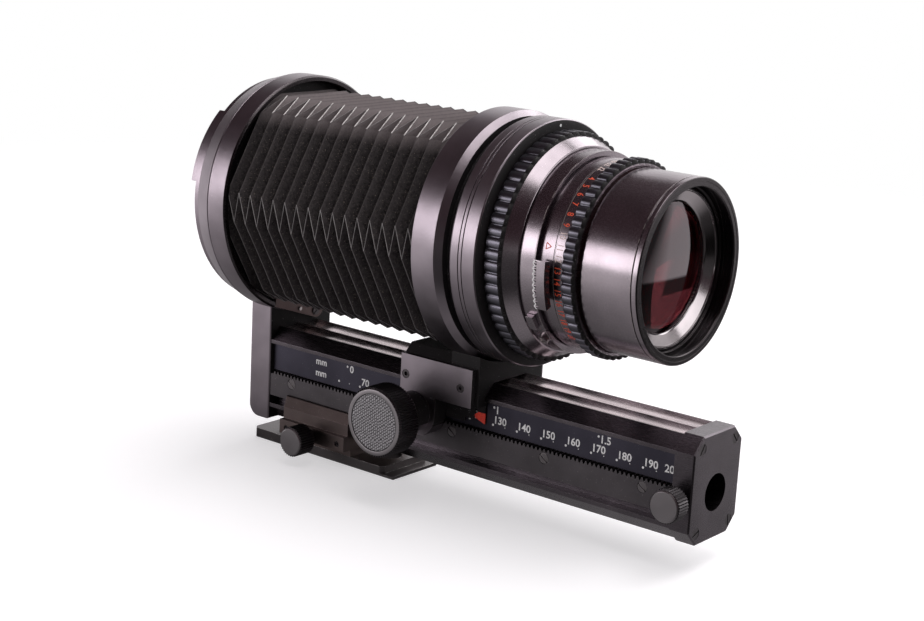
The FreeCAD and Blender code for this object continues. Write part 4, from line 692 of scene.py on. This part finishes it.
def bellows_length(b, k, per):
    """One length of the sheet, from station k*per to (k+1)*per."""
    stations = range(k * per, (k + 1) * per + 1)
    lines = {(j, side): fold_line(b, j, side) for j in stations for side in range(SIDES)}
    sheet = Sheet()
    for j in stations[:-1]:
        for side in range(SIDES):
            here, there = lines[j, side], lines[j + 1, side]
            beside = (side + 1) % SIDES
            next_here, next_there = lines[j, beside][0], lines[j + 1, beside][0]
            ridge_here = is_ridge(j, side)
            sheet.flank(here, there, ridge_here)
            sheet.corner(here[-1], next_here, there[-1], next_there, side, ridge_here)
            if ridge_here and side in CREST_HIGHLIGHT:
                for start, end in zip(here, here[1:]):
                    sheet.strip(start, end, *CREST_HIGHLIGHT[side])
    made = piece(f"bellows_{k:02d}", sheet.points, sheet.faces, "bellows_cloth", None, smooth=False)
    made.data.materials.append(looks["fold_edge"])
    made.data.polygons.foreach_set("material_index", sheet.kinds)
    set_rub(made.data, sheet.rub)
    return made


# ---------- knobs and grips

STEPS_PER_RIB = 8
STEPS_PER_LOBE = 12


def waves(count, shape):
    """A ripple of equal waves; the shape goes from 0 on a crest to 1 in a groove."""
    return lambda a: shape(abs(2 * ((a * count / (2 * math.pi)) % 1.0) - 1))


def knurl(u):
    """Sharp straight ribs."""
    return u ** 0.8


def bars(u):
    """Rounded bars with narrow grooves between them."""
    return 0.7 * u ** 2 + 0.3 * u ** 10


def make_focus_knob():
    """Knurled rim with a smooth face ring round the leatherette."""
    k, inlay = Box("focus_knob"), Box("knob_inlay")
    r, face, ribs, rib_h = k.r, k.y0, 72, 0.55
    stem_r, neck, smooth_w, hub_r, seat_gap = 5.0, 10.0, 1.45, 0.6, 0.05
    rim, back, seat_r = inlay.r + smooth_w, face + neck, inlay.r + seat_gap
    profile = [
        (face + 3.0, hub_r), (face + 0.6, seat_r), (face, seat_r), (face, rim),
        (face + 0.35, rim + 0.1, 0.2), (face + 0.75, r, rib_h), (back - 0.7, r, rib_h), (back, r - 0.8),
        (back, stem_r), (k.y1, stem_r), (k.y1, hub_r),
    ]
    made = turned("focus_knob_grip", profile, "knob_black", "focus_drive", (k.cx, k.cz), "Y",
                  ribs * STEPS_PER_RIB, waves(ribs, knurl), 0.12)

    def on_face(p, n):
        return p.y < face + 0.2 and math.hypot(p.x - k.cx, p.z - k.cz) < rim + 0.1

    dress(made.data, "knob_face", on_face)
    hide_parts("focus_knob")


def make_inlay():
    """The knob's leatherette disc, with rows of small rounded grains raised in the mesh."""
    box = Box("knob_inlay")
    pitch, row_pitch, grain_h, turn = 1.02, 1.02 * 0.86, 0.16, math.radians(38)
    ring_step, count, edge_w = 0.16, 360, 0.5
    grain_size, grain_round, wander, wander_scale = 0.23, 0.6, 0.35, 0.7
    rings = round(box.r / ring_step)
    points, faces, rub = [(box.cx, box.y0, box.cz)], [], [0.5]
    for i in range(1, rings + 1):
        r = box.r * i / rings
        for k in range(count):
            a = 2 * math.pi * k / count
            u, v = r * math.cos(a), r * math.sin(a)
            across = (u * math.cos(turn) + v * math.sin(turn)) / pitch
            along = (v * math.cos(turn) - u * math.sin(turn)) / row_pitch
            sway = noise.noise(Vector((u * wander_scale, v * wander_scale, 0))) * wander
            row = math.floor(along + sway)
            du = (across + 0.5 * (row % 2) + sway) % 1.0 - 0.5
            dv = (along + sway) % 1.0 - 0.5
            dome = max(0.0, 1 - (du * du + dv * dv) / grain_size) ** grain_round
            raised = dome * min(1.0, (box.r - r) / edge_w)
            points.append((box.cx + u, box.y0 + grain_h * (0.5 - raised), box.cz + v))
            # A grain's height is kept as its rub, which the leatherette paints grey as a highlight.
            rub.append(raised)
    base = len(points)
    points += [(x, box.y1, z) for x, _, z in points[-count:]]
    for i in range(rings):
        faces += tube(1 + i * count, 1 + (i + 1) * count, count)
    faces += [(0, 1 + (k + 1) % count, 1 + k) for k in range(count)]
    faces.append(tuple(range(base, base + count)))
    made = piece("knob_leather", points, faces, "leatherette", "focus_drive", closed=True)
    set_rub(made.data, rub + [0.0] * (len(points) - len(rub)))
    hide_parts("knob_inlay")


def lobed_profile(x0, x1, r, depth, bullet):
    """Outline of a row of lobes from its bullet-shaped front end back to its rear end."""
    shoulder = depth * 0.8
    return [
        (x1, r - depth - 0.5), (x1, r - depth, 0.1, bullet), (x1 - 0.2, r - 0.25, shoulder, bullet),
        (x1 - 0.55, r, depth, bullet), (x0 + 0.45, r, depth), (x0 + 0.12, r - 0.2, shoulder),
        (x0, r - depth, 0.1), (x0, r - depth - 0.3),
    ]


def make_shutter_ring():
    """The shutter ring: a row of rounded bars, then a narrow sloping band."""
    box = Box("shutter_ring")
    count, lobed_w, depth, bullet, bore, lobe_end = 62, 6.1, 0.85, 0.8, 32.5, 1.0
    band_rear, band_front, lobed_r = box.r - 1.6, box.r - 3.9, box.r - 2.6
    end = box.x0 + lobed_w
    profile = [(box.x1, bore), (box.x1, band_front - 0.15), (box.x1 - 0.2, band_front), (end, band_rear)]
    profile += lobed_profile(box.x0, end, box.r, depth, bullet)
    profile += [(box.x0, bore)]
    made = turned("shutter_grip", profile, "lens_black", "shutter_ring", (0, box.cz), "X",
                  count * STEPS_PER_LOBE, waves(count, bars), 0)
    dress_lobes(made, "grip_black", lobed_r, -math.inf, end + 0.05)
    # The lobes' bullet ends are painted matt black: painted shade.
    dress_lobes(made, "black_and_painted_shade", lobed_r, end - lobe_end, end + 0.05)
    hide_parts("shutter_ring")


FIGURE_BAND = 1.3       # the aperture ring's plain band lies this far under its lobes


def make_aperture_ring():
    """The aperture ring: the plain band of the figures, then a row of rounded bars."""
    box = Box("aperture_ring")
    count, lobed_w, depth, bullet, bore, lobe_end, chamfer = 56, 4.5, 1.1, 0.6, 28.3, 0.75, 0.1
    start = box.x1 - lobed_w
    band = box.r - FIGURE_BAND
    profile = [(box.x1, bore)] + lobed_profile(start, box.x1, box.r, depth, bullet)
    profile += [(start, band), (box.x0 + chamfer, band), (box.x0, band - chamfer), (box.x0, bore)]
    made = turned("aperture_grip", profile, "lens_black", "aperture_ring", (0, box.cz), "X",
                  count * STEPS_PER_LOBE, waves(count, bars), 0)
    dress_lobes(made, "grip_black", band + 0.05, start - 0.1)
    # The lobes' front ends are painted matt black: painted shade.
    dress_lobes(made, "black_and_painted_shade", band - 0.5, box.x1 - lobe_end)
    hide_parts("aperture_ring")


def dress_lobes(made, look, above_r, after_x, before_x=math.inf):
    """Gives a stretch of a ring's outside its own look."""
    dress(made.data, look, lambda p, n: after_x < p.x < before_x and from_axis(p) > above_r)


def make_front_bay():
    """The front glass's wide shallow dome, the cone of the bare name ring, and the bay's collar."""
    ring, barrel = Box("name_ring"), Box("front_barrel")
    seat, glass_r, cuts = ring.x0 + 0.5, 21.0, 14
    thick, bulge, back_bulge = 4.0, 0.9, 0.8
    # A narrow ring beside each pole's tiny hole and beside the rim keeps the shading smooth there.
    pole_r, pole_ring, rim_ring = 0.02, 0.08, 0.05
    dome = []
    for k in range(cuts + 1):
        r = max(pole_r, glass_r * k / cuts)
        dome.append((seat + bulge * (1 - (r / glass_r) ** 2), r))
    dome.insert(1, (seat + bulge, pole_ring))
    dome.insert(-1, (seat, glass_r - rim_ring))
    for k in range(cuts + 1):
        r = max(pole_r, glass_r * (1 - k / cuts))
        dome.append((seat - thick - back_bulge * (1 - (r / glass_r) ** 2), r))
    dome.insert(-1, (seat - thick - back_bulge, pole_ring))
    glass = turned("front_dome", dome, "lens_glass", "lens_standard", (0, ring.cz), soft=0)
    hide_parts("front_glass")

    edge_r = glass_r + 0.1
    cone = [
        (ring.x0, edge_r), (ring.x0, ring.r), (ring.x1, ring.r), (ring.x1, ring.r - 0.5),
        (ring.x1 - 0.4, ring.r - 0.6), (ring.x0 + 1.1, edge_r + 0.5), (ring.x0 + 0.7, edge_r),
    ]
    made = turned("name_cone", cone, "gloss_ring", "lens_standard", (0, ring.cz), soft=0.12)
    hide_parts("name_ring")

    mouth, back, front = barrel.r - 1.35, barrel.x1 - 1.7, barrel.x1 - 0.12
    collar = [
        (back, mouth), (front, mouth), (front, mouth - 1.5),
        (barrel.x1 - 0.5, mouth - 1.8), (barrel.x1 - 1.3, mouth - 1.8), (back, mouth - 1.4),
    ]
    # The bay's collar takes the darker lens metal: painted shade.
    trim = turned("bay_collar", collar, "lens_inner_shade", "lens_standard", (0, ring.cz), soft=0.12)


# ---------- figures and marks

LIFT_MM = 0.03          # marks lie this far off their surface
DIGIT_HEIGHT = 0.69     # of the built-in font, as a share of its size


def flat_word(word, height_mm, bold):
    """A word's filled outline: points (u, v) from its lower left corner, and faces."""
    curve = bpy.data.curves.new("word", "FONT")
    curve.body = word
    curve.offset = bold
    curve.resolution_u = 3
    holder = bpy.data.objects.new("word", curve)
    mesh = bpy.data.meshes.new_from_object(holder)
    size = height_mm / DIGIT_HEIGHT
    points = [(v.co.x * size, v.co.y * size) for v in mesh.vertices]
    faces = [tuple(p.vertices) for p in mesh.polygons]
    bpy.data.objects.remove(holder)
    bpy.data.curves.remove(curve)
    bpy.data.meshes.remove(mesh)
    left, low = min(p[0] for p in points), min(p[1] for p in points)
    return [(u - left, v - low) for u, v in points], faces


class Marks:
    """Gathers flat marks into one mesh."""

    def __init__(self):
        self.points, self.faces = [], []

    def add(self, points, faces):
        base = len(self.points)
        self.points += points
        self.faces += [tuple(base + i for i in face) for face in faces]

    def done(self, name, look, body):
        made = piece(name, self.points, self.faces, look, body, smooth=False)
        return made


def disc(u, v, r, sides=12):
    """Points round a small dot, and its one face."""
    angles = [2 * math.pi * k / sides for k in range(sides)]
    return [(u + r * math.cos(a), v + r * math.sin(a)) for a in angles], [tuple(range(sides))]


def make_scale():
    """White figures and dots of the millimetre scale: a dot every 5 mm, a figure every 10."""
    rail, strip = Box("rail"), Box("scale_strip")
    y = strip.y0 - LIFT_MM
    marks = Marks()

    def put(shape):
        points, faces = shape
        marks.add([(u, y, rail.cz + v) for u, v in points], faces)

    def word(text, u, v, height):
        points, faces = flat_word(text, height, 0.022)
        put(([(u + p, v + q) for p, q in points], faces))

    zero_x, big_dot, small_dot = -52.5, 0.42, 0.2
    dot_z, figure_z, figure_h, figure_dx = 3.85, 4.4, 2.5, 0.75
    for reading in range(60, 196, 10):
        x = zero_x + reading
        put(disc(x, dot_z, big_dot))
        if reading >= 70:
            word(str(reading), x + figure_dx, figure_z, figure_h)
        put(disc(x + 5, dot_z, small_dot))
    # The end plate cuts the last figure short.
    word("20", zero_x + 198, figure_z, figure_h)
    top_dot_z, top_figure_z, top_figure_dx = 9.9, 7.9, 1.2
    for reading, text in ((63.8, "0"), (130.1, "1"), (172.5, "1.5")):
        x = zero_x + reading
        put(disc(x, top_dot_z, big_dot))
        word(text, x + top_figure_dx, top_figure_z, figure_h)
    unit_x, unit_h = -3.9, 2.4
    word("mm", unit_x, top_figure_z - 0.1, unit_h)
    word("mm", unit_x, dot_z - 0.3, unit_h)
    marks.done("scale_figures", "white_mark", "rail_assembly")


def make_pointer_plate():
    """The thin black plate that carries the pointer over the scale, longer at its left end."""
    pointer, strip, side = Box("pointer"), Box("scale_strip"), Box("carriage_side_near")
    left, right = side.cx - 1.5, pointer.x0 + 0.9
    low, high = pointer.z0 + 0.8, side.z0 + 1.0
    back, front = strip.y0 - 0.35, pointer.y0 - 0.05
    nose, skirt, skirt_gap = 0.8, 1.5, 3.4
    skirt_end = pointer.x0 - skirt_gap
    outline = [
        (left, low - skirt), (skirt_end, low - skirt), (skirt_end, low),
        (right - nose, low), (right, low + nose), (right, high), (left, high),
    ]
    n = len(outline)
    points = [(x, y, z) for y in (front, back) for x, z in outline]
    faces = [tuple(range(n)), tuple(reversed(range(n, 2 * n)))]
    faces += tube(0, n, n)
    made = piece("pointer_plate", points, faces, "black_and_painted_shade", "lens_standard", smooth=False, closed=True)
    soften(made, 0.1)


def round_lens(x, r, angle):
    """Point on a cylinder about the lens's axis; the angle goes from +Y up over the top."""
    return x, r * math.cos(angle), AXIS_Z + r * math.sin(angle)


def bent_word(marks, text, x, r, angle, height):
    """A word that reads down the near side of a ring, its figures' heads towards the front."""
    bold, narrow = 0.006, 0.78
    points, faces = flat_word(text, height, bold)
    points = [(u * narrow, v) for u, v in points]
    middle = max(p[0] for p in points) / 2
    marks.add([round_lens(x + v, r, angle + (u - middle) / r) for u, v in points], faces)


def make_aperture_figures():
    """The figures 4 to 20 down the aperture ring, one beside each grip bar, and three above them."""
    ring = Box("aperture_ring")
    r, x, height = ring.r - FIGURE_BAND + LIFT_MM, ring.x0 + 0.75, 2.3
    first_deg, pitch_deg, gap_pitches = 120.9, 6.65, 1.6
    red, pale = Marks(), Marks()
    for k, number in enumerate(range(4, 21)):
        marks = pale if number in (10, 11, 12) else red
        bent_word(marks, str(number), x, r, math.radians(first_deg + pitch_deg * k), height)
    for k, number in enumerate((22, 32, 45)):
        angle = math.radians(first_deg - pitch_deg * (k + gap_pitches))
        bent_word(pale, str(number), x, r, angle, height)
    red.done("aperture_figures_red", "red_mark", "aperture_ring")
    pale.done("aperture_figures_white", "pale_mark", "aperture_ring")


def ribbon(marks, ends, width, place):
    """Flat strip along a row of (u, v) points, put on a surface by place(u, v)."""
    for a, b in zip(ends, ends[1:]):
        start, stop = Vector(a), Vector(b)
        side = (stop - start).normalized().orthogonal() * width / 2
        corners = [start - side, stop - side, stop + side, start + side]
        marks.add([place(c.x, c.y) for c in corners], [(0, 1, 2, 3)])


def make_index():
    """The red outlined triangle on the index ring and the white dot on the mount's front face."""
    index_r, index_x, index_angle = 31.5 + LIFT_MM, 108.7, math.radians(167.8)
    half, length, line_w = 1.05, 1.9, 0.3
    red = Marks()
    outline = [(-length / 2, -half), (length / 2, 0), (-length / 2, half), (-length / 2, -half)]
    ribbon(red, outline, line_w, lambda u, v: round_lens(index_x + u, index_r, index_angle + v / index_r))
    red.done("index_triangle", "red_mark", "lens_standard")
    mount = Box("lens_mount")
    place_r, place_angle, dot_r = 39.3, math.radians(90), 0.5
    white = Marks()
    centre = Vector(round_lens(mount.x1 + LIFT_MM, place_r, place_angle))
    ring, faces = disc(0, 0, dot_r)
    white.add([centre + Vector((0, u, v)) for u, v in ring], faces)
    white.done("mount_dot", "white_mark", "lens_standard")


def make_tab_edge():
    """The coupling tab's serrated rear edge, worn white."""
    tab = Box("coupling_tab")
    centre, spread, teeth, r = math.radians(188.3), math.radians(25.5), 9, 36.2 + LIFT_MM
    tip, root, line_w = 0.15, 0.95, 0.42
    ends = []
    for k in range(2 * teeth + 1):
        a = centre + spread * (k / (2 * teeth) - 0.5)
        ends.append((tab.x0 + (tip if k % 2 else root), a * r))
    marks = Marks()
    ribbon(marks, ends, line_w, lambda u, v: round_lens(u, r, v / r))
    marks.done("tab_wear", "white_mark", "coupling_tab")


def hairline(name, body, x, r, width, from_deg, to_deg, gaps, seed):
    """A worn line round a ring, broken where the noise is under the share of gaps."""
    step, noise_scale = math.radians(0.8), 9
    marks = Marks()
    for k in range(int(math.radians(to_deg - from_deg) / step)):
        a = math.radians(from_deg) + k * step
        if 0.5 + noise.noise(Vector((a * noise_scale, seed, 0))) < gaps:
            continue
        ends = [(x, a * r), (x, (a + step) * r)]
        ribbon(marks, ends, width, lambda u, v: round_lens(u, r + LIFT_MM, v / r))
    marks.done(name, "worn_line", body)


def make_hairlines():
    """Bright wear along the edges of the lens's rings."""
    mid, index, front = Box("mid_barrel"), Box("aperture_ring"), Box("front_barrel")
    band_r = index.r - FIGURE_BAND
    # Name, body, x, radius, width, from and to in degrees, share of gaps, seed.
    hairline("wear_mid", "lens_standard", 105.35, mid.r, 0.13, 95, 250, 0.42, 1.0)
    hairline("wear_index", "lens_standard", index.x0 - 0.35, band_r, 0.12, 92, 250, 0.3, 2.0)
    hairline("wear_band", "aperture_ring", index.x0 + 0.35, band_r, 0.12, 92, 250, 0.3, 3.0)
    hairline("wear_groove", "lens_standard", front.x1 - 2.3, front.r, 0.12, 95, 260, 0.5, 4.0)


# ---------- floor, lights and camera

def make_floor():
    """A pale floor that fades into the white background and keeps the object's shadow."""
    reach, fade_from, fade_to, glow = 6000, 0.45, 0.75, 0.52
    corners = [(-reach, -reach, 0), (reach, -reach, 0), (reach, reach, 0), (-reach, reach, 0)]
    looks["floor"] = material("floor", (0.66, 0.645, 0.66), 0.6, specular=0.2)
    floor = piece("floor", corners, [(0, 1, 2, 3)], "floor", None, smooth=False)
    t = Tree(looks["floor"].node_tree)
    path = t.node("ShaderNodeLightPath")
    coords = t.node("ShaderNodeTexCoord").outputs["Object"]
    distance = t.node("ShaderNodeVectorMath", operation="LENGTH")
    t.link(coords, distance.inputs[0])
    far = distance.outputs["Value"]

    # Seen directly or through glass it glows a little and turns white far out.
    seen = t.either(path.outputs["Is Camera Ray"], path.outputs["Is Transmission Ray"])
    fill(t.shader, {"Emission Color": (1, 0.985, 1, 1)})
    t.link(t.span(seen, 0.0, 1.0, 0.0, glow), t.shader.inputs["Emission Strength"])
    white = t.node("ShaderNodeEmission")
    faded = t.node("ShaderNodeMixShader")
    t.link(t.times(seen, t.span(far, fade_from, fade_to)), faded.inputs["Fac"])
    t.link(t.shader.outputs["BSDF"], faded.inputs[1])
    t.link(white.outputs["Emission"], faded.inputs[2])

    # Mirrored in the object it is dark underneath, a painted shadow of the object, and bright further out.
    glossy = t.node("ShaderNodeEmission")
    fill(glossy, {"Color": (1, 0.965, 0.98, 1)})
    t.link(t.times(t.span(far, 0.05, 0.32, 0.12, 1.0), lit_side(t, coords)), glossy.inputs["Strength"])
    mirrored = t.node("ShaderNodeMixShader")
    t.link(path.outputs["Is Glossy Ray"], mirrored.inputs["Fac"])
    t.link(faded.outputs["Shader"], mirrored.inputs[1])
    t.link(glossy.outputs["Emission"], mirrored.inputs[2])
    t.link(mirrored.outputs["Shader"], t.tree.nodes["Material Output"].inputs["Surface"])


def lit_side(t, coords):
    """1 over the lit floor, low in a dark band behind the right-hand end and in front of the camera."""
    behind = t.dot(coords, (0.75, 0.66, 0))
    near = t.dot(coords, (0.85, -0.53, 0))
    band = t.either(t.span(behind, 0.26, 0.32, 1.0, 0.06), t.span(behind, 0.46, 0.475, 0.0, 1.0))
    return t.times(band, t.span(near, 0.12, 0.18, 1.0, 0.08))


def make_world():
    """White where seen; reflections fade from the white backdrop to a dim room above and in front."""
    backdrop, dim_room, light = (1.0, 0.98, 0.985), (0.055, 0.031, 0.037), (0.27, 0.27, 0.27)
    world = bpy.data.worlds.new("studio")
    bpy.context.scene.world = world
    world.use_nodes = True
    world.node_tree.nodes.clear()
    t = Tree(world.node_tree)
    out, background = t.node("ShaderNodeOutputWorld"), t.node("ShaderNodeBackground")
    t.link(background.outputs["Background"], out.inputs["Surface"])
    path = t.node("ShaderNodeLightPath")
    direction = t.node("ShaderNodeTexCoord").outputs["Generated"]

    def fading(towards, start, stop):
        """1 for directions low down on one side, fading out with height."""
        return t.span(t.dot(direction, (*towards, -1.0)), start, stop, curve="SMOOTHSTEP")

    lit = t.either(fading((-0.25, 0.97), 0.0, 0.4), fading((-0.30, -0.22), -0.05, 0.22))
    room = t.mixed(lit, dim_room, backdrop)
    reflected = t.mixed(path.outputs["Is Glossy Ray"], light, room)
    seen = t.either(path.outputs["Is Camera Ray"], path.outputs["Is Transmission Ray"])
    t.link(t.mixed(seen, reflected, (1.0, 1.0, 1.0)), background.inputs["Color"])


def soft_light(name, place, aim, size, power, color=(1, 1, 1)):
    """A rectangular lamp turned towards a point."""
    data = bpy.data.lights.new(name, "AREA")
    data.shape = "RECTANGLE"
    data.size, data.size_y = size
    data.energy = power
    data.color = color
    lamp = bpy.data.objects.new(name, data)
    bpy.context.scene.collection.objects.link(lamp)
    lamp.location = place
    lamp.rotation_euler = (Vector(aim) - Vector(place)).to_track_quat("-Z", "Y").to_euler()


def make_lights():
    """A broad soft box overhead, a backlight, and smaller ones on the right and front left."""
    aim = (0.06, 0.0, 0.06)
    soft_light("overhead", (0.27, 0.12, 1.35), aim, (1.3, 0.9), 11.0, (1.0, 0.98, 0.98))
    soft_light("back", (0.2, 1.1, 0.9), aim, (1.2, 0.7), 7.0)
    soft_light("right", (0.98, 0.35, 0.47), aim, (0.7, 0.55), 3.0)
    soft_light("left", (-0.53, -0.72, 0.25), aim, (0.55, 0.34), 1.65, (1.0, 0.95, 0.985))


CAMERA_PLACE = (0.42766, -0.48006, 0.21018)
CAMERA_TURN_DEG = 38.046
CAMERA_RISE_DEG = 13.543
CAMERA_ROLL_DEG = 3.137
CAMERA_FOCAL_MM = 70.84
CAMERA_SENSOR_MM = 36.0


def make_camera():
    """The photograph's viewing angle: from the -Y side, a little above, slightly rolled."""
    turn, rise, roll = (math.radians(a) for a in (CAMERA_TURN_DEG, CAMERA_RISE_DEG, CAMERA_ROLL_DEG))
    back = Vector((math.sin(turn) * math.cos(rise), -math.cos(turn) * math.cos(rise), math.sin(rise)))
    level = Vector((math.cos(turn), math.sin(turn), 0))
    upright = back.cross(level)
    right = level * math.cos(roll) + upright * math.sin(roll)
    up = upright * math.cos(roll) - level * math.sin(roll)
    data = bpy.data.cameras.new("camera")
    data.lens = CAMERA_FOCAL_MM
    data.sensor_width = CAMERA_SENSOR_MM
    data.clip_start, data.clip_end = 0.01, 50.0
    camera = bpy.data.objects.new("camera", data)
    bpy.context.scene.collection.objects.link(camera)
    axes = Matrix((right, up, back)).transposed().to_4x4()
    camera.matrix_world = Matrix.Translation(CAMERA_PLACE) @ axes
    bpy.context.scene.camera = camera


finish_solids()
dress_faces()
make_bellows()
make_focus_knob()
make_inlay()
make_shutter_ring()
make_aperture_ring()
make_front_bay()
make_scale()
make_pointer_plate()
make_aperture_figures()
make_index()
make_tab_edge()
make_hairlines()
make_floor()
make_world()
make_lights()
make_camera()
bpy.context.scene.view_settings.view_transform = "Standard"
